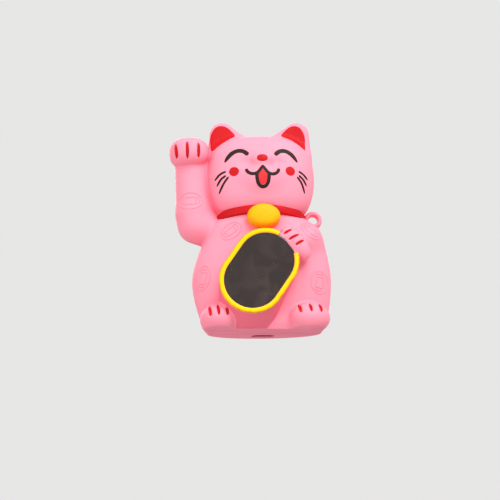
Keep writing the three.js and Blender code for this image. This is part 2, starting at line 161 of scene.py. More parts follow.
LOOP = {"x": 21.9, "z": 47.7, "middle": 2.75, "bar": 0.95, "low": 0.3, "high": 4.3}
WELL_HOLE = 7.0
BUTTON_HOLE = {"z": 26.3, "radius": 4.3, "from": 5.0}
PORT = {"y": 5.0, "half_width": 4.77, "half_height": 1.93, "depth": 3.0}
SCREW_PLACES = ((-21.3, 10.6), (21.3, 10.6), (-15.6, 71.5), (15.6, 71.5))
SCREW_HOLE = {
    "clearance": 1.3, "counterbore": 2.1, "seat": 4.5, "boss": 3.2, "pilot": 1.2, "post": 2.5,
    "pilot_end": -5.6, "boss_end": 16.0, "past": 2.0, "outside": 20.0,
}
# Room left round the holding paw by the coin's pieces
PAW_ROOM = 0.15

# Claws: the two ends of each stroke as (x, z), and the width
CLAWS = (
    ((-34.5, 76.8), (-33.9, 70.9), 1.25),
    ((-29.8, 77.6), (-29.7, 70.4), 1.3),
    ((-25.1, 77.1), (-25.2, 70.9), 1.25),
    ((7.5, 36.5), (10.9, 38.4), 1.05),
    ((9.3, 33.8), (13.6, 36.2), 1.1),
    ((11.9, 31.5), (15.5, 33.8), 1.1),
    ((-22.3, 8.3), (-22.1, 3.7), 1.25),
    ((-19.1, 8.6), (-18.8, 4.0), 1.25),
    ((-15.7, 7.2), (-15.2, 4.2), 1.2),
    ((13.1, 9.0), (13.5, 5.0), 1.25),
    ((17.2, 8.9), (17.7, 5.2), 1.25),
    ((21.3, 9.0), (21.8, 5.2), 1.25),
)


# How softly each mass runs into the rest
BLEND = {
    "jaw": 2.5, "crown": 1.6, "ear": 3.0, "muzzle": 3.0, "socket": 2.4, "neck": 1.0, "elbow": 2.0,
    "armpit": 5.0, "arm": 0.6, "arm_inside": 0.9, "raised_paw": 0.7, "coin": 0.4, "forearm": 4.5,
    "lobe": 1.6, "holding_paw": 1.0, "foot": 1.8, "claw": 0.35,
}


# ---- Distance fields ---------------------------------------------------------------------
# A line that looks for the form's front: where it starts, its steps and their share of the distance
MARCH = {"start": -26.0, "steps": 90, "share": 0.6}


def smooth_min(a, b, blend):
    near = np.clip(1 - np.abs(a - b) / blend, 0, 1)
    return np.minimum(a, b) - near * near * blend / 4


def smooth_max(a, b, blend):
    return -smooth_min(-a, -b, blend)


def turned(q, degrees):
    """Points turned about y, so that a shape drawn upright leans by that angle."""
    if not degrees:
        return q
    c, s = math.cos(math.radians(degrees)), math.sin(math.radians(degrees))
    return np.stack([c * q[:, 0] - s * q[:, 2], q[:, 1], s * q[:, 0] + c * q[:, 2]], 1)


def egg(p, centre, radii, turn=0.0):
    q = turned(p - np.array(centre), turn)
    size = np.array(radii)
    first = np.linalg.norm(q / size, axis=1)
    second = np.linalg.norm(q / size**2, axis=1)
    return first * (first - 1) / np.maximum(second, 1e-6)


def rounded_block(p, centre, radii, back, power):
    """A superellipsoid whose front and back differ in depth, measured along the radius."""
    q = p - np.array(centre)
    depth = np.where(q[:, 1] > 0, back, radii[1])
    sides = np.abs(q / np.stack([np.full(len(q), radii[0]), depth, np.full(len(q), radii[2])], 1))
    reach = (sides**power).sum(1) ** (1 / power)
    return np.linalg.norm(q, axis=1) * (1 - 1 / np.maximum(reach, 1e-6))


def capsule(p, start, end, radius):
    start, end = np.array(start), np.array(end)
    along = end - start
    t = np.clip((p - start) @ along / (along @ along), 0, 1)
    return np.linalg.norm(p - start - t[:, None] * along, axis=1) - radius


def triangle_distance(x, z, corners):
    """Signed distance in the plane to a triangle, negative inside."""
    nearest = np.full(len(x), 1e9)
    inside = np.ones(len(x), bool)
    ring = np.array(corners)
    turn = np.sign(np.cross(ring[1] - ring[0], ring[2] - ring[0]))
    for i in range(3):
        a, b = ring[i], ring[(i + 1) % 3]
        edge = b - a
        px, pz = x - a[0], z - a[1]
        t = np.clip((px * edge[0] + pz * edge[1]) / (edge @ edge), 0, 1)
        nearest = np.minimum(nearest, np.hypot(px - t * edge[0], pz - t * edge[1]))
        inside &= turn * (edge[0] * pz - edge[1] * px) > 0
    return np.where(inside, -nearest, nearest)


def thick(flat, y, middle, half, edge):
    """Gives a flat distance a thickness along y, with rounded edges."""
    a, b = flat + edge, np.abs(y - middle) - half + edge
    outside = np.hypot(np.maximum(a, 0), np.maximum(b, 0))
    return outside + np.minimum(np.maximum(a, b), 0) - edge


def ear(p, shape):
    flat = triangle_distance(p[:, 0], p[:, 2], shape["corners"]) - shape["round"]
    return thick(flat, p[:, 1], **EAR_DEPTH)


@functools.cache
def body_table():
    """The body's sections, resampled along a smooth curve."""
    rows = np.array(BODY_SECTIONS)
    slope = np.gradient(rows[:, 1:], rows[:, 0], axis=0)
    fine = np.linspace(rows[0, 0], rows[-1, 0], 240)
    at = np.clip(np.searchsorted(rows[:, 0], fine, "right") - 1, 0, len(rows) - 2)
    span = rows[at + 1, 0] - rows[at, 0]
    t = ((fine - rows[at, 0]) / span)[:, None]
    lift = span[:, None]
    value = (
        (1 + 2 * t) * (1 - t) ** 2 * rows[at, 1:]
        + t * (1 - t) ** 2 * lift * slope[at]
        + t * t * (3 - 2 * t) * rows[at + 1, 1:]
        + t * t * (t - 1) * lift * slope[at + 1]
    )
    return fine, value


def torso(p):
    levels, value = body_table()
    middle, half, front, back = (np.interp(p[:, 2], levels, value[:, i]) for i in range(4))
    depth = np.where(p[:, 1] > 0, back, front)
    across = np.abs(p[:, 0] - middle)
    reach = ((across / half) ** BODY_POWER + (np.abs(p[:, 1]) / depth) ** BODY_POWER)
    reach = reach ** (1 / BODY_POWER)
    wall = np.hypot(across, p[:, 1]) * (1 - 1 / np.maximum(reach, 1e-6))
    return np.maximum(wall, np.maximum(p[:, 2] - levels[-1], -1.0 - p[:, 2]))


def skull(p):
    whole = smooth_min(rounded_block(p, **HEAD), rounded_block(p, **JAW), BLEND["jaw"])
    return smooth_max(whole, p[:, 2] - CROWN, BLEND["crown"])


def head(p):
    form = skull(p)
    for shape in EARS:
        form = smooth_min(form, ear(p, shape), BLEND["ear"])
    form = smooth_min(form, egg(p, **MUZZLE), BLEND["muzzle"])
    for socket in SOCKETS:
        form = smooth_max(form, -egg(p, **socket), BLEND["socket"])
    return smooth_min(form, egg(p, **NOSE_BUMP), BLEND["muzzle"])


def raised_arm(p):
    form = capsule(p, ARM_PATH[0], ARM_PATH[1], ARM_RADIUS)
    for start, end in zip(ARM_PATH[1:-1], ARM_PATH[2:]):
        form = smooth_min(form, capsule(p, start, end, ARM_RADIUS), BLEND["elbow"])
    return smooth_min(form, capsule(p, **ARMPIT), BLEND["armpit"])


def coin_distance(x, z):
    """Distance in the plane to the coin's straight spine."""
    dx, dz = math.sin(COIN["tilt"]), math.cos(COIN["tilt"])
    px, pz = x - COIN["x"], z - COIN["z"]
    t = np.clip(px * dx + pz * dz, -COIN["straight"], COIN["straight"])
    return np.hypot(px - t * dx, pz - t * dz)


def coin_block(p, radius, front, back, edge):
    flat = coin_distance(p[:, 0], p[:, 2]) - radius
    return thick(flat, p[:, 1], (front + back) / 2, (back - front) / 2, edge)


def coin_pedestal(p):
    """The coin's solid block, whose lower end slopes down and back to the base."""
    lean = np.array([math.sin(COIN["tilt"]), math.cos(COIN["tilt"])]) * COIN["straight"]
    depth = np.clip(p[:, 1] - COIN["face"], 0, FLARE["reach"])
    top_x, top_z = COIN["x"] + lean[0], COIN["z"] + lean[1]
    down_x = COIN["x"] - lean[0] + FLARE["x"] * depth - top_x
    down_z = COIN["z"] - lean[1] + FLARE["z"] * depth - top_z
    px, pz = p[:, 0] - top_x, p[:, 2] - top_z
    t = np.clip((px * down_x + pz * down_z) / (down_x**2 + down_z**2), 0, 1)
    flat = np.hypot(px - t * down_x, pz - t * down_z) - COIN["round"] - FLARE["round"] * depth * t
    block = thick(flat, p[:, 1], COIN["face"] / 2 - 1.0, -COIN["face"] / 2 - 1.0, 0.4)
    return np.maximum(block, -1.0 - p[:, 2])


def holding_paw(p):
    return smooth_min(egg(p, **HOLDING_PAW), egg(p, **PAW_LOBE), BLEND["lobe"])


def masses(p, top, arm_blend):
    """The hollow masses: the given head, the body and the raised arm."""
    form = smooth_min(top(p), torso(p), BLEND["neck"])
    form = smooth_min(form, raised_arm(p), arm_blend)
    return smooth_min(form, rounded_block(p, **RAISED_PAW), BLEND["raised_paw"])


def trunk(p):
    return masses(p, head, BLEND["arm"])


def smooth_form(p):
    """The whole cat before the claws are pressed in."""
    form = smooth_min(trunk(p), coin_pedestal(p), BLEND["coin"])
    form = smooth_min(form, capsule(p, **FOREARM), BLEND["forearm"])
    form = smooth_min(form, holding_paw(p), BLEND["holding_paw"])
    form = smooth_min(form, egg(p, **LEFT_FOOT), BLEND["foot"])
    return smooth_min(form, egg(p, **RIGHT_FOOT), BLEND["foot"])


def meet_front(form, x, z):
    """The y at which a line along +y first meets the form."""
    y = np.full(len(x), MARCH["start"])
    for _ in range(MARCH["steps"]):
        y = y + MARCH["share"] * form(np.stack([x, y, z], 1))
    return y


def slope_of(form, p, step=0.02):
    shifts = np.eye(3) * step
    return np.stack([form(p + shift) - form(p - shift) for shift in shifts], 1) / (2 * step)


def laid(form, flat):
    """Points in x and z laid on the form's front, and the form's normals there."""
    spots = np.stack([flat[:, 0], meet_front(form, flat[:, 0], flat[:, 1]), flat[:, 1]], 1)
    normal = slope_of(form, spots, 0.05)
    return spots, normal / np.linalg.norm(normal, axis=1)[:, None]


@functools.cache
def claw_beds():
    """The claws' strokes as short polylines lying on the smooth form."""
    beds = []
    for start, end, width in CLAWS:
        t = np.linspace(0.08, 0.92, 6)[:, None]
        flat = (1 - t) * np.array(start) + t * np.array(end)
        y = meet_front(smooth_form, flat[:, 0], flat[:, 1])
        beds.append((np.stack([flat[:, 0], y - 0.15, flat[:, 1]], 1), width))
    return beds


def cat_form(p):
    form = smooth_form(p)
    for points, width in claw_beds():
        near = np.linalg.norm(p - points.mean(0), axis=1) < 6.0
        if not near.any():
            continue
        part = p[near]
        bed = np.full(len(part), 1e9)
        for a, b in zip(points[:-1], points[1:]):
            bed = np.minimum(bed, capsule(part, a, b, width * 0.52))
        form[near] = smooth_max(form[near], -bed, BLEND["claw"])
    return form


def hollow_form(p):
    """The inside of the case, with the pocket behind the coin's window."""
    inside = masses(p, skull, BLEND["arm_inside"]) + WALL
    pocket = coin_block(p, COIN["round"] - WALL, RECESS["inside"], 0.0, 0.2)
    return np.maximum(np.minimum(inside, pocket), WALL - p[:, 2])


def paw_guard(p):
    """The holding paw with a little room round it, to cut the coin's pieces back to it."""
    return np.minimum(egg(p, **HOLDING_PAW), egg(p, **PAW_LOBE)) - PAW_ROOM


# ---- Skinning a distance field -----------------------------------------------------------
def lattice(low, step, shape):
    axes = [low[i] + step * np.arange(shape[i]) for i in range(3)]
    return np.stack(np.meshgrid(*axes, indexing="ij"), -1).reshape(-1, 3)


def field_values(form, low, high, step, block=4):
    """Values on a fine lattice, worked out only near the surface."""
    blocks = np.ceil((np.array(high) - low) / (step * block)).astype(int)
    rough = form(lattice(np.array(low), step * block, blocks + 1)).reshape(blocks + 1)
    corner = [slice(None, -1), slice(1, None)]
    shares = [rough[a, b, c] for a in corner for b in corner for c in corner]
    close = np.min(np.abs(shares), axis=0) < step * block * 2.0
    value = np.kron(np.sign(rough[:-1, :-1, :-1]) * 9.0, np.ones((block,) * 3))
    cells = np.argwhere(close)
    inner = lattice(np.zeros(3), 1, (block,) * 3)
    index = (cells[:, None, :] * block + inner[None]).reshape(-1, 3).astype(int)
    value[tuple(index.T)] = form(np.array(low) + step * index)
    return value


def crossing_points(value, cells):
    """Each mixed cell's point: the mean of where the surface crosses the cell's edges."""
    total, count = np.zeros((len(cells), 3)), np.zeros(len(cells))
    for axis in range(3):
        step = np.eye(3, dtype=int)[axis]
        others = [np.eye(3, dtype=int)[i] for i in range(3) if i != axis]
        for i in (0, 1):
            for j in (0, 1):
                start = i * others[0] + j * others[1]
                a = value[tuple((cells + start).T)]
                b = value[tuple((cells + start + step).T)]
                crossed = (a < 0) != (b < 0)
                t = np.where(crossed, a / np.where(crossed, a - b, 1), 0)
                total += crossed[:, None] * (start + t[:, None] * step)
                count += crossed
    return total / count[:, None]


def net_faces(inside, index):
    faces = []
    for axis in range(3):
        second, third = (axis + 1) % 3, (axis + 2) % 3
        ahead = [slice(None)] * 3
        behind = [slice(None)] * 3
        ahead[axis], behind[axis] = slice(1, None), slice(None, -1)
        now, after = inside[tuple(behind)], inside[tuple(ahead)]
        for leaving in (True, False):
            edges = np.argwhere((now & ~after) if leaving else (~now & after))
            edges = edges[(edges[:, second] > 0) & (edges[:, third] > 0)]
            ring = []
            for ds, dt in ((1, 1), (0, 1), (0, 0), (1, 0)):
                cell = edges.copy()
                cell[:, second] -= ds
                cell[:, third] -= dt
                ring.append(index[tuple(cell.T)])
            quad = np.stack(ring if leaving else ring[::-1], 1)
            faces.append(quad)
    return np.concatenate(faces)


def skin(form, low, high, step, settle=3):
    """A closed quad mesh on the form's surface, as points and faces."""
    value = field_values(form, low, high, step)
    inside = value < 0
    corner = [slice(None, -1), slice(1, None)]
    count = sum(inside[a, b, c].astype(np.int8) for a in corner for b in corner for c in corner)
    mixed = (count > 0) & (count < 8)
    cells = np.argwhere(mixed)
    index = np.full(mixed.shape, -1)
    index[mixed] = np.arange(len(cells))
    points = np.array(low) + step * (cells + crossing_points(value, cells))
    for _ in range(settle):
        slope = slope_of(form, points)
        move = form(points)[:, None] * slope / np.maximum((slope**2).sum(1), 0.05)[:, None]
        points = points - np.clip(move, -step * 0.4, step * 0.4)
    return points, net_faces(inside, index)


# ---- Meshes ------------------------------------------------------------------------------
def linked(name, data):
    made = bpy.data.objects.new(name, data)
    bpy.context.scene.collection.objects.link(made)
    return made


def copy_of(source):
    return linked(source.name, source.data.copy())


def raw_object(name, points, faces):
    mesh = bpy.data.meshes.new(name)
    mesh.from_pydata([tuple(v) for v in points], [], [tuple(f) for f in faces])
    mesh.update()
    return linked(name, mesh)


def solid(name, points, faces, merge=1e-5):
    made = raw_object(name, points, faces)
    outward(made.data, merge)
    return made


def strip_faces(rows, columns, wrap_rows=False, wrap_columns=True):
    """The quads between neighbouring rows of a grid of points."""
    faces = []
    for i in range(rows if wrap_rows else rows - 1):
        step = ((i + 1) % rows - i) * columns
        for j in range(columns if wrap_columns else columns - 1):
            a, b = i * columns + j, i * columns + (j + 1) % columns
            faces.append((a, b, b + step, a + step))
    return faces


def end_faces(rows, columns):
    """The faces that close a tube's first and last rows."""
    return [tuple(range(columns)), tuple(range((rows - 1) * columns, rows * columns))]


def outward(mesh, merge=1e-5):
    """Merges doubles and points every face outwards."""
    work = bmesh.new()
    work.from_mesh(mesh)
    bmesh.ops.remove_doubles(work, verts=work.verts, dist=merge)
    bmesh.ops.dissolve_degenerate(work, edges=work.edges, dist=merge)
    bmesh.ops.recalc_face_normals(work, faces=work.faces)
    work.to_mesh(mesh)
    work.free()


def soften(mesh, angle=40.0):
    """Smooth shading, with the edges sharper than the angle kept crisp."""
    mesh.shade_smooth()
    work = bmesh.new()
    work.from_mesh(mesh)
    limit = math.radians(angle)
    for edge in work.edges:
        edge.smooth = len(edge.link_faces) != 2 or edge.calc_face_angle(0) < limit
    work.to_mesh(mesh)
    work.free()


def placed(made):
    """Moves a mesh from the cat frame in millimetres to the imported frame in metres."""
    made.data.transform(Matrix.Translation(Vector(ORIGIN)) @ Matrix.Scale(MM, 4))


def mount(made, slot, nodes=(), body="case", angle=40.0, finish=None):
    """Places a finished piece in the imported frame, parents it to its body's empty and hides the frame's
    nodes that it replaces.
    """
    soften(made.data, angle)
    placed(made)
    made.data.materials.clear()
    made.data.materials.append(finish or finish_for(slot))
    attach(made, body)
    if nodes:
        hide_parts(*nodes)


def keep_evaluated(made):
    """Keeps the object's mesh with its modifiers worked out, and removes the modifiers."""
    bpy.context.view_layer.update()
    graph = bpy.context.evaluated_depsgraph_get()
    result = bpy.data.meshes.new_from_object(made.evaluated_get(graph))
    made.modifiers.clear()
    old = made.data
    made.data = result
    bpy.data.meshes.remove(old)


def combine(made, steps):
    """Applies a list of (operation, tool object) and removes the tools."""
    for number, (operation, tool) in enumerate(steps):
        step = made.modifiers.new(f"step {number}", "BOOLEAN")
        step.operation = operation
        step.solver = "MANIFOLD"
        step.object = tool
    keep_evaluated(made)
    for _, tool in steps:
        bpy.data.objects.remove(tool)
    return made


def block(low, high):
    corners = [(x, y, z) for x in (low[0], high[0]) for y in (low[1], high[1]) for z in (low[2], high[2])]
    faces = [(0, 1, 3, 2), (4, 6, 7, 5), (0, 4, 5, 1), (2, 3, 7, 6), (0, 2, 6, 4), (1, 5, 7, 3)]
    return solid("block", corners, faces)


def prism(outline, low, high, upright=False):
    """An outline closed from low to high: in x and z along y or, upright, in x and y along z."""
    points = [(u, v, end) if upright else (u, end, v) for end in (low, high) for u, v in outline]
    return solid("prism", points, strip_faces(2, len(outline)) + end_faces(2, len(outline)))


def circle(x, z, radius, count=48):
    turn = np.linspace(0, 2 * math.pi, count, endpoint=False)
    return [(x + radius * math.cos(a), z + radius * math.sin(a)) for a in turn]


def bar_y(x, z, radius, front, back, count=48):
    return prism(circle(x, z, radius, count), front, back)


def coin_outline(radius, count=96):
    """The coin's outline: two half rounds joined by straight sides."""
    lean = COIN["tilt"]
    spine = COIN["straight"] * np.array([math.sin(lean), math.cos(lean)])
    points = []
    for side in (1, -1):
        middle = np.array([COIN["x"], COIN["z"]]) + side * spine
        start = -lean if side > 0 else math.pi - lean
        for a in np.linspace(start, start + math.pi, count // 2):
            points.append(tuple(middle + radius * np.array([math.cos(a), math.sin(a)])))
    return points


def lathe(name, profile, centre=(0.0, 0.0), upright=True, count=72):
    """Turns a closed profile of (radius, height) about an upright or a front-to-back axis."""
    points = []
    for a in np.linspace(0, 2 * math.pi, count, endpoint=False):
        for radius, height in profile:
            u, v = centre[0] + radius * math.cos(a), centre[1] + radius * math.sin(a)
            points.append((u, v, height) if upright else (u, height, v))
    return solid(name, points, strip_faces(count, len(profile), wrap_rows=True))


def joined(name, parts):
    """Joins objects into one and names it."""
    work = bmesh.new()
    for part in parts:
        work.from_mesh(part.data)
    mesh = bpy.data.meshes.new(name)
    work.to_mesh(mesh)
    work.free()
    for part in parts:
        bpy.data.objects.remove(part)
    return linked(name, mesh)


# ---- Paint films -------------------------------------------------------------------------
def evenly(points, count, closed=False):
    """The line through the points, resampled at even steps."""
    if closed:
        points = np.vstack([points, points[:1]])
    length = np.concatenate([[0], np.cumsum(np.linalg.norm(np.diff(points, axis=0), axis=1))])
    even = np.linspace(0, length[-1], count, endpoint=not closed)
    return np.stack([np.interp(even, length, points[:, i]) for i in range(points.shape[1])], 1)


def smooth_path(points, count, closed=False):
    """A smooth curve through the points, evenly spaced."""
    knots = np.array(points, float)
    if closed:
        ends = np.vstack([knots[-1:], knots, knots[:2]])
    else:
        ends = np.vstack([2 * knots[0] - knots[1], knots, 2 * knots[-1] - knots[-2]])
    rows = []
    for i in range(len(ends) - 3):
        to_end = i == len(ends) - 4 and not closed
        t = np.linspace(0, 1, 16 if closed else 24, endpoint=to_end)[:, None]
        a, b, c, d = ends[i : i + 4]
        cubic = (3 * b - a - 3 * c + d) * t**3
        rows.append(0.5 * (2 * b + (c - a) * t + (2 * a - 5 * b + 4 * c - d) * t**2 + cubic))
    return evenly(np.vstack(rows), count, closed)


def stroke(points, width, taper=(0.0, 0.0), count=None, across=5):
    """A painted line as a grid of (x, z) points. Taper is the share over which each end thins."""
    length = np.linalg.norm(np.diff(np.array(points, float), axis=0), axis=1).sum()
    count = count or max(14, int(length / 0.22))
    path = smooth_path(points, count)
    tangent = np.gradient(path, axis=0)
    tangent /= np.linalg.norm(tangent, axis=1)[:, None]
    normal = np.stack([-tangent[:, 1], tangent[:, 0]], 1)
    run = np.linspace(0, 1, count) * length
    half = np.full(count, width / 2)
    for along, share in ((run, taper[0]), (length - run, taper[1])):
        reach = max(share * length, width / 2)
        slim = np.sqrt(np.clip(1 - (1 - np.clip(along / reach, 0, 1)) ** 2, 0, 1))
        half = np.minimum(half, width / 2 * np.maximum(slim, 0.04))
    spread = np.linspace(-1, 1, across)
    return path[:, None, :] + normal[:, None, :] * (half[:, None] * spread)[:, :, None]


def patch(outline, rings=10):
    """A filled outline as rings of (x, z) points round its middle."""
    edge = np.array(outline, float)
    middle = edge.mean(0)
    share = np.linspace(1, 0.04, rings)[:, None, None]
    return middle + (edge[None] - middle) * share


def oval(x, z, half_x, half_z, power=2.0, count=40):
    a = np.linspace(0, 2 * math.pi, count, endpoint=False)
    c, s = np.cos(a), np.sin(a)
    u = half_x * np.sign(c) * np.abs(c) ** (2 / power)
    v = half_z * np.sign(s) * np.abs(s) ** (2 / power)
    return np.stack([x + u, z + v], 1)


def film(grid, wrapped, proud, sunk):
    """A thin closed skin of paint lying on the cat. A wrapped grid's rows are rings."""
    rows, columns = grid.shape[:2]
    size = rows * columns
    base, normal = laid(cat_form, grid.reshape(-1, 2))
    outside = strip_faces(rows, columns, wrap_columns=wrapped)
    faces = outside + [(size + a, size + d, size + c, size + b) for a, b, c, d in outside]
    first, last = list(range(columns)), list(range(size - columns, size))
    if wrapped:
        faces += [tuple(last), tuple(size + i for i in reversed(last))]
        lines = [first + first[:1]]
    else:
        lines = [first, last, list(range(0, size, columns)), list(range(columns - 1, size, columns))]
    for line in lines:
        faces += [(a, b, size + b, size + a) for a, b in zip(line[:-1], line[1:])]
    return solid("film", np.vstack([base + proud * normal, base - sunk * normal]), faces, 2e-3)


def painted(name, strokes, patches, proud, sunk=0.25):
    parts = [film(grid, False, proud, sunk) for grid in strokes]
    parts += [film(grid, True, proud, sunk) for grid in patches]
    return joined(name, parts)


# ---- Geometry Nodes ----------------------------------------------------------------------
def feed(tree, node, feeds):
    """Gives a node's inputs their values; a value may be another node's output."""
    for key, value in feeds.items():
        if isinstance(value, bpy.types.NodeSocket):
            tree.links.new(value, node.inputs[key])
        else:
            node.inputs[key].default_value = value


def add_node(tree, kind, feeds=None, **settings):
    made = tree.nodes.new(kind)
    for key, value in settings.items():
        setattr(made, key, value)
    feed(tree, made, feeds or {})
    return made


def new_tree(name, inputs):
    """A node tree with a geometry input, the named inputs and a geometry output."""
    tree = bpy.data.node_groups.new(name, "GeometryNodeTree")
    tree.interface.new_socket("Geometry", in_out="INPUT", socket_type="NodeSocketGeometry")
    sockets = {}
    for label, kind in inputs.items():
        sockets[label] = tree.interface.new_socket(label, in_out="INPUT", socket_type=kind).identifier
    tree.interface.new_socket("Geometry", in_out="OUTPUT", socket_type="NodeSocketGeometry")
    return tree, sockets


def end_tree(tree, geometry, finish):
    """Ends a tree in Realize Instances and Set Material."""
    real = add_node(tree, "GeometryNodeRealizeInstances", {0: geometry})
    coat = add_node(tree, "GeometryNodeSetMaterial", {0: real.outputs[0], "Material": finish})
    add_node(tree, "NodeGroupOutput", {0: coat.outputs[0]})


def grown(made, tree, sockets, values):
    """Runs the tree on an object and keeps the result as its plain mesh."""
    step = made.modifiers.new(tree.name, "NODES")
    step.node_group = tree
    for label, value in values.items():
        step[sockets[label]] = value
    keep_evaluated(made)
    bpy.data.node_groups.remove(tree)
    outward(made.data)
    return made


def bead_tree(name, finish):
    """Sweeps a round bead along the mesh's lines; open lines may thin towards their ends."""
    tree, sockets = new_tree(name, {
        "Bead Radius": "NodeSocketFloat", "Bead Sides": "NodeSocketInt",
        "End Size": "NodeSocketFloat", "End Share": "NodeSocketFloat",
    })
    given = tree.nodes.new("NodeGroupInput").outputs
    lines = add_node(tree, "GeometryNodeMeshToCurve", {0: given["Geometry"]})
    section = add_node(tree, "GeometryNodeCurvePrimitiveCircle", {
        "Radius": given["Bead Radius"], "Resolution": given["Bead Sides"],
    })
    sweep = add_node(tree, "GeometryNodeCurveToMesh", {
        "Curve": thinned(tree, given, lines.outputs[0]),
        "Profile Curve": section.outputs["Curve"],
        "Fill Caps": True,
    })
    end_tree(tree, sweep.outputs[0], finish)
    return tree, sockets


def thinned(tree, given, curve):
    """Narrows a curve's radius over the end share, so that a bead tapers out."""
    along = tree.nodes.new("GeometryNodeSplineParameter").outputs["Factor"]
    other = add_node(tree, "ShaderNodeMath", {0: 1.0, 1: along}, operation="SUBTRACT")
    nearer = add_node(tree, "ShaderNodeMath", {0: along, 1: other.outputs[0]}, operation="MINIMUM")
    feeds = {"Value": nearer.outputs[0], "From Max": given["End Share"], "To Min": given["End Size"]}
    size = add_node(tree, "ShaderNodeMapRange", feeds, interpolation_type="SMOOTHSTEP")
    narrow = add_node(tree, "GeometryNodeSetCurveRadius", {"Curve": curve, "Radius": size.outputs[0]})
    return narrow.outputs[0]


def bead(name, lines, radius, sides, finish, end_size=1.0, end_share=0.01):
    """Beads along several lines; a line is (points, closed)."""
    mesh = bpy.data.meshes.new(name)
    points, edges = [], []
    for line, closed in lines:
        first = len(points)
        points += [tuple(v) for v in line]
        edges += [(first + i, first + i + 1) for i in range(len(line) - 1)]
        if closed:
            edges.append((first + len(line) - 1, first))
    mesh.from_pydata(points, edges, [])
    tree, sockets = bead_tree(name, finish)
    return grown(linked(name, mesh), tree, sockets, {
        "Bead Radius": radius, "Bead Sides": sides, "End Size": end_size, "End Share": end_share,
    })


# ---- Finishes ----------------------------------------------------------------------------
class Finish:
    """A node material built step by step on Object coordinates."""

    def __init__(self, name):
        self.material = bpy.data.materials.new(name)
        self.material.use_nodes = True
        self.tree = self.material.node_tree
        self.shader = self.tree.nodes["Principled BSDF"]
        self.place = self.node("ShaderNodeTexCoord").outputs["Object"]

    def node(self, kind, feeds=None, **settings):
        return add_node(self.tree, kind, feeds, **settings)

    def noise(self, scale, detail=2.0, distortion=0.0):
        feeds = {"Vector": self.place, "Scale": scale, "Detail": detail, "Distortion": distortion}
        return self.node("ShaderNodeTexNoise", feeds).outputs[0]

    def cells(self, scale, feature="F1"):
        feeds = {"Vector": self.place, "Scale": scale}
        return self.node("ShaderNodeTexVoronoi", feeds, feature=feature).outputs["Distance"]

    def spread(self, source, low, high, to_low=0.0, to_high=1.0):
        feeds = {"Value": source, "From Min": low, "From Max": high, "To Min": to_low, "To Max": to_high}
        return self.node("ShaderNodeMapRange", feeds).outputs[0]

    def blend(self, factor, first, second):
        """Mixes two tones, each a colour or a socket."""
        feeds = {0: factor}
        for key, tone in ((6, first), (7, second)):
            feeds[key] = tone if isinstance(tone, bpy.types.NodeSocket) else (*tone, 1.0)
        return self.node("ShaderNodeMix", feeds, data_type="RGBA").outputs[2]

    def attribute(self, name):
        return self.node("ShaderNodeAttribute", attribute_name=name).outputs["Fac"]

    def edges(self, low, high, to_low, to_high):
        """Picks out the mesh's convex edges or its creases."""
        point = self.node("ShaderNodeNewGeometry").outputs["Pointiness"]
        return self.spread(point, low, high, to_low, to_high)

    def bump(self, height, depth, normal=None, strength=1.0):
        feeds = {"Height": height, "Distance": depth * MM, "Strength": strength}
        if normal is not None:
            feeds["Normal"] = normal
        return self.node("ShaderNodeBump", feeds).outputs[0]

    def coat(self, tone, normal, gloss, **constants):
        """Feeds the shader and hands over the finished material."""
        feeds = {"Base Color": tone, "Normal": normal, "Roughness": gloss}
        feeds.update({key.replace("_", " "): value for key, value in constants.items()})
        feed(self.tree, self.shader, feeds)
        return self.material


def tinted(colour, factor):
    return tuple(min(1.0, c * factor) for c in colour)


def moulded(name, colour, roughness, variation=0.06, grain=2600.0, depth=0.02, **constants):
    """A plastic: cloudy colour variation, fine grain, uneven gloss and worn edges."""
    made = Finish(name)
    cloud = made.spread(made.noise(140.0, 3.0, 0.4), 0.3, 0.7)
    tone = made.blend(cloud, tinted(colour, 1 - variation), tinted(colour, 1 + variation))
    tone = made.blend(made.edges(0.52, 0.62, 0.0, 0.5), tone, tinted(colour, 1.12))
    gloss = made.spread(made.noise(420.0, 3.0), 0.3, 0.7, roughness - 0.06, roughness + 0.06)
    constants.setdefault("Specular_IOR_Level", 0.4)
    return made.coat(tone, made.bump(made.noise(grain), depth), gloss, **constants)


def soft_pink(colour, deep, name="soft_pink_shell"):
    """The soft-touch coat: velvety, with faint clouding and a fine pebble, and with shade painted in a
    deeper pink into creases, sheltered places and the coin's down-facing wall.
    """
    made = Finish(name)
    cloud = made.spread(made.noise(75.0, 3.0, 0.6), 0.3, 0.75)
    tone = made.blend(cloud, tinted(colour, 0.97), tinted(colour, 1.04))
    # Painted shade: concave creases (low pointiness) are darkened towards the shade pink.
    tone = made.blend(made.edges(0.40, 0.49, 0.45, 0.0), tone, deep)
    # Painted shade: places sheltered within 4.5 mm (ambient occlusion) are darkened towards the shade pink.
    ao_shade = made.node("ShaderNodeAmbientOcclusion", {"Distance": 4.5 * MM}, samples=8)
    tone = made.blend(made.spread(ao_shade.outputs["AO"], 0.35, 0.9, 0.7, 0.0), tone, deep)
    # Painted shade: the coin's down-facing side wall is darkened below the shade pink.
    wall = made.spread(made.attribute("coin_wall_shade"), 0.0, 1.0, 0.0, 0.9)
    tone = made.blend(wall, tone, tinted(deep, 0.88))
    ripple = made.bump(made.noise(260.0), 0.05, strength=0.5)
    pebble = made.bump(made.noise(5200.0), 0.012, ripple)
    gloss = made.spread(made.noise(900.0, 3.0), 0.3, 0.7, 0.50, 0.62)
    return made.coat(tone, pebble, gloss, Specular_IOR_Level=0.22)


def speckled_paint(name, colour, second, roughness, amount=0.7, speckle=1500.0, cloud=350.0, grain=0.03):
    """Sprayed paint: two close tones in fine speckles over slow clouding."""
    made = Finish(name)
    tone = made.blend(made.spread(made.noise(speckle, 3.0), 0.42, 0.62, 0.0, amount), colour, second)
    tone = made.blend(made.spread(made.noise(cloud), 0.35, 0.7, 0.0, 0.35), tone, second)
    gloss = made.spread(made.noise(700.0), 0.3, 0.7, roughness - 0.05, roughness + 0.08)
    return made.coat(tone, made.bump(made.noise(3200.0, 3.0), grain), gloss, Specular_IOR_Level=0.12)


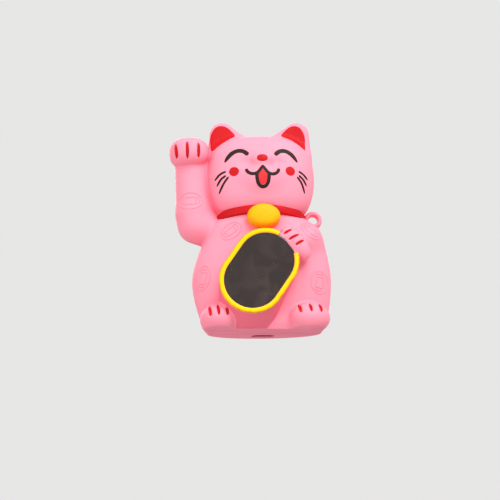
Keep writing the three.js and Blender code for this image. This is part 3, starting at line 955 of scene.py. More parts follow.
def smoked_glass(colour):
    """The display window: near-black and glossy, with faint dust, lighter cloudy patches that are part haze
    and part painted reflection, and hairline swirls.
    """
    made = Finish("smoked_window")
    dust = made.spread(made.cells(650.0), 0.0, 0.14, 1.0, 0.0)
    some = made.spread(made.noise(160.0, 1.0), 0.50, 0.66)
    both = made.node("ShaderNodeMath", {0: dust, 1: some}, operation="MULTIPLY")
    tone = made.blend(both.outputs[0], colour, (0.22, 0.22, 0.21))
    # Lighter cloudy patches: haze on the window together with painted reflection.
    haze_and_reflection = made.spread(made.noise(95.0, 3.0, 0.8), 0.45, 0.72, 0.0, 0.8)
    tone = made.blend(haze_and_reflection, tone, tinted(colour, 2.6))
    gloss = made.spread(made.noise(240.0, 4.0, 1.5), 0.3, 0.8, 0.07, 0.19)
    swirl = made.bump(made.noise(90.0, 1.0), 0.03, strength=0.4)
    return made.coat(tone, swirl, gloss, Specular_IOR_Level=0.5)


def turned_metal(name, colour, roughness):
    """Metal with fine turning lines and a little tarnish."""
    made = Finish(name)
    tarnish = made.spread(made.noise(320.0, 4.0), 0.45, 0.75, 0.0, 0.6)
    tone = made.blend(tarnish, colour, tinted(colour, 0.62))
    stretch = made.node("ShaderNodeMapping", {"Vector": made.place, "Scale": (1.0, 1.0, 14.0)})
    score = made.node("ShaderNodeTexNoise", {"Vector": stretch.outputs[0], "Scale": 2200.0})
    gloss = made.spread(made.noise(500.0, 3.0), 0.3, 0.7, roughness - 0.07, roughness + 0.1)
    return made.coat(tone, made.bump(score.outputs[0], 0.01), gloss, Metallic=1.0)


def etched_board(colour):
    """Solder-masked circuit board with traces showing through."""
    made = Finish("circuit_board")
    tracks = made.spread(made.cells(750.0, "DISTANCE_TO_EDGE"), 0.03, 0.07, 1.0, 0.0)
    tone = made.blend(tracks, colour, tinted(colour, 2.4))
    tone = made.blend(made.spread(made.noise(160.0), 0.4, 0.7, 0.0, 0.4), tone, tinted(colour, 0.7))
    gloss = made.spread(made.noise(900.0), 0.3, 0.7, 0.3, 0.45)
    mask = {"Specular_IOR_Level": 0.5, "Coat_Weight": 0.3, "Coat_Roughness": 0.2}
    return made.coat(tone, made.bump(tracks, 0.03), gloss, **mask)


def open_foam(colour):
    """Dark foam with open pores."""
    made = Finish("foam_pad")
    pores = made.cells(1800.0)
    tone = made.blend(made.spread(pores, 0.1, 0.6), tinted(colour, 0.5), tinted(colour, 1.5))
    gloss = made.spread(made.noise(600.0), 0.3, 0.7, 0.88, 0.98)
    return made.coat(tone, made.bump(pores, 0.12), gloss)


# ---- Properties --------------------------------------------------------------------------
def size(name, description, default, low, high):
    return FloatProperty(
        name=name, description=description, default=default, min=low, max=high, precision=5, unit="LENGTH",
    )


def colour(name, description, default):
    return FloatVectorProperty(name=name, description=description, subtype="COLOR", default=default)


class CatSizes(bpy.types.PropertyGroup):
    skin_step: size("Skin Step", "Spacing of the shell's surface mesh", 0.00036, 0.0002, 0.002)
    wall_step: size("Inner Wall Step", "Spacing of the hollow's surface mesh", 0.0010, 0.0005, 0.003)
    rim_radius: size("Rim Bead", "Radius of the yellow bead round the coin", 0.00102, 0.0004, 0.002)
    motif_radius: size("Motif Bead", "Radius of the motifs' raised lines", 0.00030, 0.0001, 0.001)
    paint_proud: size("Paint Thickness", "How far the paint stands on the shell", 0.00007, 0.00001, 0.0005)
    floor_size: size("Floor Size", "Half width of the floor", 3.0, 0.5, 20.0)
    bead_sides: IntProperty(
        name="Bead Sides", description="Sides of the coin rim's round section", default=20, min=6, max=48,
    )


class CatColours(bpy.types.PropertyGroup):
    pink: colour("Shell Pink", "Soft-touch coat", (0.92, 0.262, 0.352))
    # The pink that paints shade into creases, sheltered places and the coin's wall
    shade_pink: colour("Painted Shade Pink", "Pink painted as shade in the creases", (0.93, 0.155, 0.228))
    red: colour("Red Paint", "Ears, collar, cheeks, nose and claws", (0.52, 0.005, 0.009))
    yellow: colour("Rim Yellow", "Bead round the coin", (0.92, 0.56, 0.0))
    gold: colour("Medallion Gold", "Medallion on the collar", (0.84, 0.43, 0.002))
    line: colour("Line Paint", "Eyes, mouth and whiskers", (0.020, 0.012, 0.011))
    coral: colour("Tongue Coral", "Tongue", (0.76, 0.034, 0.040))
    glass: colour("Window Smoke", "Display window", (0.019, 0.0115, 0.0105))
    floor: colour("Floor", "Floor and background", (0.56, 0.555, 0.55))


@functools.cache
def finish_for(slot):
    """The finish of each of the record's material slots and of each paint."""
    tones = bpy.context.scene.cat_colours
    plain = {
        "black_plastic": ((0.013, 0.013, 0.014), 0.45),
        "white_plastic": ((0.78, 0.76, 0.70), 0.5),
        "ferrite": ((0.035, 0.034, 0.036), 0.6, 0.2, 900.0, 0.05),
        "red_lead": ((0.48, 0.012, 0.010), 0.42),
        "black_lead": ((0.010, 0.010, 0.011), 0.42),
    }
    metal = {"brass": ((0.78, 0.52, 0.20), 0.28), "steel": ((0.56, 0.57, 0.58), 0.30)}
    paint = {
        "red_paint": (tones.red, tinted(tones.red, 0.8), 0.5, 0.4),
        "gold_paint": (tones.gold, (0.84, 0.34, 0.003), 0.48, 0.6, 1700.0, 300.0, 0.05),
        "line_paint": (tones.line, tinted(tones.line, 1.5), 0.55, 0.4),
        "coral_paint": (tones.coral, tinted(tones.coral, 0.85), 0.5),
    }
    for maker, rows in ((moulded, plain), (turned_metal, metal), (speckled_paint, paint)):
        if slot in rows:
            return maker(slot, *rows[slot])
    wrap = ("cell_wrap", (0.028, 0.16, 0.46), 0.32, 0.05, 700.0)
    return {
        "pink_shell": lambda: soft_pink(tones.pink, tones.shade_pink),
        "smoked_window": lambda: smoked_glass(tones.glass),
        "circuit_board": lambda: etched_board((0.012, 0.10, 0.035)),
        "foam": lambda: open_foam((0.045, 0.045, 0.05)),
        "cell_wrap": lambda: moulded(*wrap, Coat_Weight=0.3),
        "yellow_paint": lambda: rim_paint(tones.yellow),
    }[slot]()


def rim_paint(colour):
    """Yellow on the bead's crown, running to orange outside and to peach at the inner edge."""
    made = Finish("yellow_paint")
    edge = made.attribute("outer_edge")
    wander = {0: made.noise(700.0), 1: 0.5, 2: edge}
    lift = made.node("ShaderNodeMath", wander, operation="MULTIPLY_ADD")
    tone = made.blend(made.spread(lift.outputs[0], 0.95, 1.25), colour, (0.80, 0.24, 0.004))
    tone = made.blend(made.spread(edge, 0.0, 0.16, 0.85, 0.0), tone, (0.90, 0.36, 0.16))
    gloss = made.spread(made.noise(700.0), 0.3, 0.7, 0.48, 0.62)
    return made.coat(tone, made.bump(made.noise(2600.0, 3.0), 0.04), gloss, Specular_IOR_Level=0.12)


# ---- Stage -------------------------------------------------------------------------------
CAMERA_PLACE = (-55.43, -581.47, -132.58)
CAMERA_RIGHT = (0.99646, -0.07873, -0.02936)
CAMERA_UP = (0.00641, -0.27712, 0.96081)
CAMERA_LENS = 107.64
# name, azimuth and elevation of the lamp in degrees, distance and size in metres, power, colour
LAMPS = (
    ("key_light", 26.0, 42.0, 0.80, 0.55, 6.4, (1.0, 0.985, 0.97)),
    ("fill_light", -40.0, 4.0, 0.90, 0.60, 2.5, (1.0, 0.98, 0.985)),
    ("back_light", 196.0, 34.0, 0.85, 0.60, 3.4, (1.0, 1.0, 1.0)),
)


def to_frame(point):
    return Vector(ORIGIN) + Vector(point) * MM


class CAT_OT_stage(bpy.types.Operator):
    """Sets the camera, the lamps, the background and the floor."""

    bl_idname = "cat.stage"
    bl_label = "Stage"

    def execute(self, context):
        self.camera(context)
        middle = (CAD_BOX[0] + CAD_BOX[1]) / 2
        for lamp in LAMPS:
            self.lamp(middle, *lamp)
        self.world(context)
        self.floor(context)
        context.scene.view_settings.view_transform = "Standard"
        return {"FINISHED"}

    def camera(self, context):
        data = bpy.data.cameras.new("camera")
        data.lens = CAMERA_LENS
        data.clip_start, data.clip_end = 0.01, 20.0
        made = linked("camera", data)
        right, up = Vector(CAMERA_RIGHT).normalized(), Vector(CAMERA_UP).normalized()
        axes = Matrix((right, up, right.cross(up))).transposed().to_4x4()
        made.matrix_world = Matrix.Translation(to_frame(CAMERA_PLACE)) @ axes
        context.scene.camera = made

    def lamp(self, middle, name, azimuth, elevation, distance, size, power, colour):
        data = bpy.data.lights.new(name, "AREA")
        data.shape = "DISK"
        data.size, data.energy, data.color = size, power, colour
        made = linked(name, data)
        a, e = math.radians(azimuth), math.radians(elevation)
        away = Vector((math.sin(a) * math.cos(e), -math.cos(a) * math.cos(e), math.sin(e)))
        made.location = middle + away * distance
        made.rotation_euler = (-away).to_track_quat("-Z", "Y").to_euler()

    def world(self, context):
        """A pale studio, barely darker below the horizon."""
        world = bpy.data.worlds.new("studio")
        world.use_nodes = True
        tree = world.node_tree
        place = tree.nodes.new("ShaderNodeTexCoord").outputs["Generated"]
        split = add_node(tree, "ShaderNodeSeparateXYZ", {0: place})
        feeds = {"From Min": -0.12, "From Max": 0.04, "To Min": 0.84, "To Max": 0.86}
        fall = add_node(tree, "ShaderNodeMapRange", {"Value": split.outputs["Z"], **feeds})
        backdrop = {"Color": (0.93, 0.925, 0.92, 1.0), "Strength": fall.outputs[0]}
        feed(tree, tree.nodes["Background"], backdrop)
        context.scene.world = world

    def floor(self, context):
        half = context.scene.cat_sizes.floor_size
        level = CAD_BOX[0].z - 0.0001
        corners = [(-half, -half, level), (half, -half, level), (half, half, level), (-half, half, level)]
        made = raw_object("floor", corners, [(0, 1, 2, 3)])
        made.data.materials.append(self.floor_finish(context.scene.cat_colours.floor))
        made.visible_shadow = False
        made.visible_diffuse = False

    def floor_finish(self, colour):
        """Pale paper, clear from underneath so that the base can be seen from below."""
        made = Finish("pale_floor")
        tone = made.blend(made.noise(9.0), tinted(colour, 0.985), tinted(colour, 1.015))
        paper = {"Base Color": tone, "Roughness": 0.9, "Specular IOR Level": 0.1}
        feed(made.tree, made.shader, paper)
        clear = made.node("ShaderNodeBsdfTransparent").outputs[0]
        behind = made.node("ShaderNodeNewGeometry").outputs["Backfacing"]
        mix = made.node("ShaderNodeMixShader", {0: behind, 1: made.shader.outputs[0], 2: clear})
        feed(made.tree, made.tree.nodes["Material Output"], {"Surface": mix.outputs[0]})
        return made.material


# ---- Shells ------------------------------------------------------------------------------
FORM_LOW = np.array([-38.5, -20.5, -2.6])
FORM_HIGH = np.array([30.5, 15.5, 90.5])
PAW_LOW = np.array([3.0, -21.0, 22.0])
PAW_HIGH = np.array([21.0, -8.0, 42.0])
PAW_STEP = 0.4
# The hole behind the window for the display: half width, half height and its two ends along y
OPENING = {"half_x": 6.3, "half_z": 4.0, "front": -20.0, "back": -10.0}
WELL_ENDS = (70.0, 90.0)
# The coin's wall, which gets painted shade, is what lies this near its block, this far behind its face and
# clear of the rest
COIN_WALL = {"near": 0.12, "behind": 0.35, "clear": 0.25}


def paw_tool():
    points, faces = skin(paw_guard, PAW_LOW, PAW_HIGH, PAW_STEP)
    return raw_object("paw", points, faces)


def rounded_slot(half_width, half_height, y, count=24):
    reach = half_width - half_height
    points = []
    for side in (1, -1):
        for a in np.linspace(-math.pi / 2, math.pi / 2, count) + (0 if side > 0 else math.pi):
            points.append((side * reach + half_height * math.cos(a), y + half_height * math.sin(a)))
    return points


def screw_bars(radius, front, back):
    return [bar_y(x, z, radius, front, back, 32) for x, z in SCREW_PLACES]


def boss_posts(outer, radius, front, back):
    """Screw bosses, trimmed to the cat's outside."""
    made = joined("bosses", screw_bars(radius, front, back))
    return combine(made, [("INTERSECT", copy_of(outer))])


def well_bar():
    return prism(circle(0, 0, WELL_HOLE, 72), *WELL_ENDS, upright=True)


def lanyard_loop():
    """A rounded ring that stands out at the neck, moulded with the back shell."""
    ring = []
    half = (LOOP["high"] - LOOP["low"]) / 2
    for t in np.linspace(0, 2 * math.pi, 24, endpoint=False):
        across, deep = math.cos(t), math.sin(t)
        ring.append((
            LOOP["middle"] + LOOP["bar"] * np.sign(across) * abs(across) ** 0.75,
            LOOP["low"] + half + half * np.sign(deep) * abs(deep) ** 0.6,
        ))
    return lathe("loop", ring, (LOOP["x"], LOOP["z"]), upright=False, count=64)


class CAT_OT_shells(bpy.types.Operator):
    """Moulds the front and back shells from one smooth form."""

    bl_idname = "cat.shells"
    bl_label = "Shells"

    def execute(self, context):
        sizes = context.scene.cat_sizes
        outer = raw_object("outer", *skin(cat_form, FORM_LOW, FORM_HIGH, sizes.skin_step / MM))
        hollow = raw_object("hollow", *skin(hollow_form, FORM_LOW, FORM_HIGH, sizes.wall_step / MM, 2))
        self.front(outer, hollow)
        self.back(outer, hollow)
        for spare in (outer, hollow):
            bpy.data.objects.remove(spare)
        return {"FINISHED"}

    def half(self, name, outer, hollow, low, high):
        made = copy_of(outer)
        made.name = name
        return combine(made, [("INTERSECT", block(low, high)), ("DIFFERENCE", copy_of(hollow))])

    def front(self, outer, hollow):
        made = self.half("front_shell_body", outer, hollow, (-FAR, -FAR, 0), (FAR, -PARTING, 2 * FAR))
        recess = prism(coin_outline(RECESS["round"]), -FAR, RECESS["front"])
        recess = combine(recess, [("DIFFERENCE", paw_tool())])
        half_x, half_z = OPENING["half_x"], OPENING["half_z"]
        opening = block(
            (COIN["x"] - half_x, OPENING["front"], COIN["z"] - half_z),
            (COIN["x"] + half_x, OPENING["back"], COIN["z"] + half_z),
        )
        posts = boss_posts(outer, SCREW_HOLE["post"], -SCREW_HOLE["boss_end"], -PARTING)
        pilots = screw_bars(SCREW_HOLE["pilot"], SCREW_HOLE["pilot_end"], SCREW_HOLE["past"])
        cuts = [("DIFFERENCE", tool) for tool in (recess, opening, well_bar(), joined("pilots", pilots))]
        combine(made, [("UNION", posts), *cuts])
        self.mark_coin_wall(made)
        mount(made, "pink_shell", ["front_shell"], angle=55.0)

    def mark_coin_wall(self, made):
        """Marks the coin's side wall, clear of the feet and the body, where a deeper pink is painted as
        shade.
        """
        spots = vertex_points(made)
        near = np.abs(coin_pedestal(spots)) < COIN_WALL["near"]
        behind = spots[:, 1] > COIN["face"] + COIN_WALL["behind"]
        feet = np.minimum(egg(spots, **LEFT_FOOT), egg(spots, **RIGHT_FOOT))
        clear = np.minimum(feet, trunk(spots)) > COIN_WALL["clear"]
        edge_attribute(made, "coin_wall_shade", near & behind & clear)

    def back(self, outer, hollow):
        made = self.half("back_shell_body", outer, hollow, (-FAR, PARTING, 0), (FAR, FAR, 2 * FAR))
        posts = boss_posts(outer, SCREW_HOLE["boss"], PARTING, SCREW_HOLE["boss_end"])
        loop = combine(lanyard_loop(), [("DIFFERENCE", copy_of(hollow))])
        mouth = rounded_slot(PORT["half_width"], PORT["half_height"], PORT["y"])
        slot = prism(mouth, -1.0, PORT["depth"], upright=True)
        outside = SCREW_HOLE["outside"]
        button = bar_y(0.0, BUTTON_HOLE["z"], BUTTON_HOLE["radius"], BUTTON_HOLE["from"], outside, 64)
        holes = joined("holes", screw_bars(SCREW_HOLE["clearance"], -SCREW_HOLE["past"], outside))
        sinks = joined("sinks", screw_bars(SCREW_HOLE["counterbore"], SCREW_HOLE["seat"], outside))
        cuts = [("DIFFERENCE", tool) for tool in (well_bar(), slot, button, holes, sinks)]
        combine(made, [("UNION", posts), ("UNION", loop), *cuts])
        mount(made, "pink_shell", ["back_shell"], angle=55.0)


# ---- Coin --------------------------------------------------------------------------------
# Where the bead's two ends tuck under the holding paw, as (x, z)
RIM_ENDS = ((6.0, 37.2), (13.3, 28.6))


def rim_line():
    outline = evenly(np.array(coin_outline(RIM["round"], 220)), 260, True)
    first, last = [int(np.argmin(np.linalg.norm(outline - end, axis=1))) for end in RIM_ENDS]
    count = len(outline)
    steps = (last - first) % count
    if steps < count / 2:
        first, steps = last, (first - last) % count
    chosen = outline[(first + np.arange(steps + 1)) % count]
    return np.stack([chosen[:, 0], np.full(len(chosen), RIM["y"]), chosen[:, 1]], 1)


def edge_attribute(made, name, values):
    layer = made.data.attributes.new(name, "FLOAT", "POINT")
    layer.data.foreach_set("value", np.array(values, np.float32))


def vertex_points(made):
    co = np.zeros(len(made.data.vertices) * 3)
    made.data.vertices.foreach_get("co", co)
    return co.reshape(-1, 3)


def flatten(made, axis, level, share):
    """Draws a mesh towards a level along one axis."""
    spots = vertex_points(made)
    spots[:, axis] = level + (spots[:, axis] - level) * share
    made.data.vertices.foreach_set("co", spots.ravel())
    made.data.update()


def window_plate():
    """The window's plate: a low dome with rounded edges, on rings round the coin's spine."""
    points = []
    for share in WINDOW_RINGS:
        past = max(0.0, (share - WINDOW["bevel_from"]) / (1 - WINDOW["bevel_from"]))
        drop = WINDOW["dome"] * share**4 + WINDOW["bevel"] * past**2
        y = WINDOW["front"] - WINDOW["dome"] + drop
        points += [(x, y, z) for x, z in coin_outline(WINDOW["round"] * share)]
    outline = coin_outline(WINDOW["round"])
    points += [(x, WINDOW["back"], z) for x, z in outline]
    rings = len(WINDOW_RINGS) + 1
    faces = strip_faces(rings, len(outline)) + end_faces(rings, len(outline))
    return solid("window_pane", points, faces)


class CAT_OT_coin(bpy.types.Operator):
    """Makes the coin's smoked window and its yellow rim bead."""

    bl_idname = "cat.coin"
    bl_label = "Coin Window and Rim"

    def execute(self, context):
        sizes = context.scene.cat_sizes
        radius = sizes.rim_radius / MM
        pane = combine(window_plate(), [("DIFFERENCE", paw_tool())])
        mount(pane, "smoked_window", ["display_window"])
        lines, finish = [(rim_line(), False)], finish_for("yellow_paint")
        rim = bead("coin_rim", lines, radius, sizes.bead_sides, finish, RIM["end_size"], RIM["end_share"])
        flatten(rim, 1, RIM["y"], RIM["flatness"])
        spots = vertex_points(rim)
        share = (coin_distance(spots[:, 0], spots[:, 2]) - RIM["round"]) / radius
        edge_attribute(rim, "outer_edge", share * 0.5 + 0.5)
        mount(rim, "yellow_paint", angle=60.0)
        return {"FINISHED"}


# ---- Collar ------------------------------------------------------------------------------
def collar_half(name, side):
    """Half of the collar band, swept round the neck on one side of the parting plane."""
    edge, steps, power = COLLAR["edge"], COLLAR["steps"], 2 / BODY_POWER
    half = (COLLAR["high"] - COLLAR["low"]) / 2
    depth = COLLAR["back"] if side > 0 else COLLAR["front"]
    section = []
    for t in np.linspace(0, 2 * math.pi, COLLAR["section"], endpoint=False):
        u, v = math.cos(t), math.sin(t)
        section.append((edge * np.sign(u) * abs(u) ** 0.6, np.sign(v) * abs(v) ** 0.35))
    points = []
    for i in range(steps + 1):
        a = math.pi * (0.003 + 0.994 * i / steps)
        x_dir, y_dir = math.cos(a), math.sin(a)
        for out, up in section:
            reach_x, reach_y = COLLAR["half_width"] + out - edge, depth + out - edge
            x = reach_x * np.sign(x_dir) * abs(x_dir) ** power
            y = side * (PARTING + (reach_y - PARTING) * abs(y_dir) ** power)
            lift = COLLAR["rise"] * (max(0.0, -y) / COLLAR["front"]) ** 0.85
            points.append((x, y, COLLAR["low"] + half + lift + up * half))
    faces = strip_faces(steps + 1, len(section)) + end_faces(steps + 1, len(section))
    return solid(name, points, faces)


def medallion_bead():
    """A full oval disc, flatter on its face than a plain egg."""
    rows, columns, power = MEDALLION["rows"], MEDALLION["columns"], MEDALLION["power"]
    points = [(0.0, -1.0, 0.0)]
    for i in range(1, rows):
        ring, level = math.sin(math.pi * i / rows), -math.cos(math.pi * i / rows)
        for b in np.arange(columns) * 2 * math.pi / columns:
            points.append((ring * math.cos(b), level, ring * math.sin(b)))
    points.append((0.0, 1.0, 0.0))
    last = len(points) - 1
    faces = [tuple(1 + corner for corner in face) for face in strip_faces(rows - 1, columns)]
    for j in range(columns):
        after = (j + 1) % columns
        faces.append((0, 1 + j, 1 + after))
        faces.append((last, last - columns + after, last - columns + j))
    spots = np.array(points)
    flat = np.hypot(spots[:, 0], spots[:, 2])
    norm = (flat**power + np.abs(spots[:, 1]) ** power) ** (-1 / power)
    spots = np.array(MEDALLION["centre"]) + spots * norm[:, None] * np.array(MEDALLION["radii"])
    return solid("collar_medallion", spots, faces)


class CAT_OT_collar(bpy.types.Operator):
    """Makes the red collar band in two halves and the gold medallion."""

    bl_idname = "cat.collar"
    bl_label = "Collar and Medallion"

    def execute(self, context):
        for name, side in (("collar_front", -1), ("collar_back", 1)):
            mount(collar_half(name, side), "red_paint", angle=50.0)
        mount(medallion_bead(), "gold_paint")
        return {"FINISHED"}


# ---- Face --------------------------------------------------------------------------------
BROWS = (
    ((-14.8, 68.1), (-13.4, 70.2), (-11.7, 71.9), (-9.5, 72.8), (-7.3, 72.5), (-5.2, 70.8)),
    ((14.7, 67.9), (13.4, 70.0), (11.8, 71.7), (9.7, 72.7), (7.5, 72.4), (5.4, 70.7)),
)
MOUTH = (
    ((-6.5, 64.5), (-5.8, 62.9), (-4.1, 62.0), (-2.2, 62.3), (-0.8, 63.8), (0.3, 65.7)),
    ((6.9, 64.6), (6.1, 62.8), (4.5, 61.9), (2.6, 62.2), (1.2, 63.8), (0.1, 65.7)),
)
CHIN_LOOP = (
    (-2.3, 62.3), (-2.25, 60.3), (-1.85, 58.4), (-0.95, 57.2), (0.15, 56.85),
    (1.25, 57.2), (2.15, 58.4), (2.55, 60.3), (2.6, 62.3),
)
TONGUE = (
    (0.15, 64.1), (0.85, 63.2), (1.7, 62.3), (2.0, 61.3), (1.95, 60.1), (1.6, 58.9), (0.95, 58.0),
    (0.15, 57.7), (-0.65, 58.0), (-1.3, 58.9), (-1.65, 60.1), (-1.7, 61.3), (-1.4, 62.3), (-0.55, 63.2),
)
WHISKERS = (
    ((-14.4, 64.1), (-16.8, 63.2), (-18.9, 61.1)),
    ((-14.4, 62.4), (-16.4, 61.1), (-18.1, 58.5)),
    ((-13.4, 61.8), (-15.5, 59.0), (-17.3, 55.3)),
    ((15.0, 64.1), (17.0, 63.0), (18.9, 61.1)),
    ((15.0, 62.4), (16.9, 60.8), (18.3, 58.4)),
    ((14.3, 61.7), (16.2, 59.0), (17.4, 55.2)),
)
EAR_INSIDES = (
    (
        (-19.3, 75.3), (-19.9, 78.4), (-19.9, 81.4), (-19.1, 84.0), (-17.6, 86.0), (-15.6, 86.7),
        (-13.6, 86.3), (-11.6, 84.8), (-9.8, 82.2), (-12.4, 80.3), (-15.8, 77.9),
    ),
    (
        (9.4, 82.1), (11.2, 84.7), (13.1, 86.2), (15.2, 86.7), (17.2, 85.9), (18.5, 83.9),
        (19.2, 81.3), (19.1, 78.4), (18.7, 75.4), (16.0, 77.5), (13.0, 79.9),
    ),
)
CHEEKS = ((-11.25, 63.7), (11.5, 63.8))
CHEEK_RADIUS = 1.95
NOSE = {"x": 0.15, "z": 68.75, "half_x": 2.15, "half_z": 1.45, "power": 2.3}
# Widths of the painted lines, and the shares over which their two ends thin
BROW_LINE = (1.85, (0.4, 0.0))
MOUTH_LINE = (1.3, (0.0, 0.22))
CHIN_LINE = (1.35, (0.0, 0.0))
WHISKER_LINE = (0.88, (0.12, 0.35))
CLAW_TAPER = (0.45, 0.45)
# How much further than the other paint the overlapping lines stand
OVERLAP = 0.03


class CAT_OT_face(bpy.types.Operator):
    """Paints the face: smiling eyes, nose, mouth, cheeks, whiskers and ears."""

    bl_idname = "cat.face"
    bl_label = "Painted Face"

    def execute(self, context):
        proud = context.scene.cat_sizes.paint_proud / MM
        brows = [stroke(path, *BROW_LINE) for path in BROWS]
        mouth = [stroke(path, *MOUTH_LINE) for path in MOUTH] + [stroke(CHIN_LOOP, *CHIN_LINE)]
        whiskers = [stroke(path, *WHISKER_LINE) for path in WHISKERS]
        ears = [patch(smooth_path(outline, 72, True), 14) for outline in EAR_INSIDES]
        cheeks = [patch(oval(x, z, CHEEK_RADIUS, CHEEK_RADIUS)) for x, z in CHEEKS]
        rows = (
            ("smiling_eyes", "line_paint", brows, (), proud),
            ("mouth_line", "line_paint", mouth, (), proud + OVERLAP),
            ("whiskers", "line_paint", whiskers, (), proud),
            ("ear_insides", "red_paint", (), ears, proud),
            ("cheeks", "red_paint", (), cheeks, proud),
            ("nose", "red_paint", (), [patch(oval(**NOSE))], proud + 0.05),
            ("tongue", "coral_paint", (), [patch(smooth_path(TONGUE, 60, True))], proud),
        )
        for name, slot, *shape in rows:
            mount(painted(name, *shape), slot, angle=60.0)
        return {"FINISHED"}


# ---- Claws -------------------------------------------------------------------------------
class CAT_OT_claws(bpy.types.Operator):
    """Paints the claws into their pressed beds."""

    bl_idname = "cat.claws"
    bl_label = "Claws"

    def execute(self, context):
        strokes = [stroke((start, end), width, CLAW_TAPER, 26, 9) for start, end, width in CLAWS]
        proud = context.scene.cat_sizes.paint_proud / MM + OVERLAP
        mount(painted("claws", strokes, (), proud, 0.2), "red_paint", angle=60.0)
        return {"FINISHED"}


# ---- Coin motifs -------------------------------------------------------------------------
# Middle, half length, half width and lean in degrees of each raised motif
MOTIFS = (
    ((-28.7, 53.6), 4.8, 3.5, 0.0),
    ((-12.8, 39.9), 4.5, 3.0, 38.0),
    ((-24.2, 21.3), 4.9, 2.7, 80.0),
    ((22.3, 18.9), 4.6, 3.5, 82.0),
    ((19.3, 39.8), 4.4, 3.1, -42.0),
)
# A short mark beside the square hole, as shares of the motif's half length and half width
MOTIF_MARK = ((0.66, -0.30), (0.76, 0.08), (0.62, 0.50))


def motif_lines(middle, half_length, half_width, lean):
    """An oval, a square hole and two short marks, in the plane."""
    t = math.radians(lean)
    turn = np.array([[math.cos(t), -math.sin(t)], [math.sin(t), math.cos(t)]])
    a, b = 0.47 * half_length, 0.42 * half_width
    square = evenly(np.array([(-a, -b), (a, -b), (a, b), (-a, b)]), 44, True)
    ring = evenly(oval(0, 0, half_length, half_width, count=60), 64, True)
    shapes = [(ring, True), (square, True)]
    for side in (-1, 1):
        mark = [(side * u * half_length, v * half_width) for u, v in MOTIF_MARK]
        shapes.append((smooth_path(mark, 12), False))
    return [(np.array(middle) + shape @ turn.T, closed) for shape, closed in shapes]


class CAT_OT_motifs(bpy.types.Operator):
    """Lays the raised coin motifs on the body and arm."""

    bl_idname = "cat.motifs"
    bl_label = "Raised Motifs"

    def execute(self, context):
        radius = context.scene.cat_sizes.motif_radius / MM
        lines = []
        for motif in MOTIFS:
            for flat, closed in motif_lines(*motif):
                spots, normal = laid(smooth_form, flat)
                lines.append((spots - normal * radius * 0.4, closed))
        tones = context.scene.cat_colours
        # The motif beads are a little darker pink: painted shade along the raised lines.
        finish = soft_pink(tinted(tones.pink, 0.94), tones.shade_pink, "motif_pink_shaded")
        made = bead("coin_motifs", lines, radius, 10, finish)
        mount(made, "pink_shell", angle=80.0, finish=finish)
        return {"FINISHED"}


# ---- Well, button, screws and spring -----------------------------------------------------
WELL_WALL = 0.7
# The power button: its cap's radius, its flange's thickness and the rounding of the cap's edge
BUTTON = {"cap": 4.0, "flange": 0.8, "edge": 0.5, "edge_in": 0.45, "edge_up": 0.35}
SCREW_HEAD = 1.3
SHANK_RADIUS = 0.9
# The cross recess: a bar's length, width and depth, and the level of its middle in the head
CROSS = (2.0, 0.42, 0.9)
CROSS_LEVEL = 0.65


class CAT_OT_well(bpy.types.Operator):
    """Turns the cartridge well's liner with its chamfered lip."""

    bl_idname = "cat.well"
    bl_label = "Cartridge Well"

    def execute(self, context):
        low, high = node_box("cartridge_well")
        outer = (high[0] - low[0]) / 2
        bore, bottom, top = outer - WELL_WALL, low[2], high[2]
        profile = [
            (outer, bottom), (outer, top - 0.35), (outer - 0.12, top - 0.1), (outer - 0.3, top),
            (bore + 0.25, top), (bore + 0.06, top - 0.12), (bore, top - 0.35),
            (bore, bottom + 2.2), (bore + 0.12, bottom + 2.0), (bore, bottom + 1.8), (bore, bottom),
        ]
        mount(lathe("well_liner", profile, count=96), "black_plastic", ["cartridge_well"])
        return {"FINISHED"}


class CAT_OT_button(bpy.types.Operator):
    """Turns the power button: domed cap, finger groove and flange."""

    bl_idname = "cat.button"
    bl_label = "Power Button"

    def execute(self, context):
        low, high = node_box("power_button")
        middle = ((low[0] + high[0]) / 2, (low[2] + high[2]) / 2)
        flange, cap = (high[0] - low[0]) / 2, BUTTON["cap"]
        front, back = low[1], high[1]
        step, edge = front + BUTTON["flange"], back - BUTTON["edge"]
        profile = [(0.0, front), (flange, front), (flange, step), (cap, step), (cap, edge)]
        for a in np.linspace(0, math.pi / 2, 6)[1:]:
            inwards = BUTTON["edge_in"] * (1 - math.cos(a))
            profile.append((cap - inwards, edge + BUTTON["edge_up"] * math.sin(a)))
        profile += [(3.0, back - 0.08), (2.75, back - 0.22), (2.5, back - 0.22), (2.25, back - 0.06)]
        profile += [(1.5, back - 0.02), (0.7, back), (0.0, back)]
        made = lathe("button_cap", profile, middle, upright=False)
        mount(made, "white_plastic", ["power_button"], "button")
        return {"FINISHED"}


def cross_recess(tree, head):
    """Cuts a cross recess into a screw's head."""
    cut = add_node(tree, "GeometryNodeMeshBoolean", {0: head}, operation="DIFFERENCE", solver="FLOAT")
    for size in (CROSS, (CROSS[1], CROSS[0], CROSS[2])):
        bar = add_node(tree, "GeometryNodeMeshCube", {"Size": size})
        feeds = {"Geometry": bar.outputs["Mesh"], "Translation": (0.0, 0.0, CROSS_LEVEL)}
        lift = add_node(tree, "GeometryNodeTransform", feeds)
        tree.links.new(lift.outputs[0], cut.inputs[1])
    return cut.outputs[0]


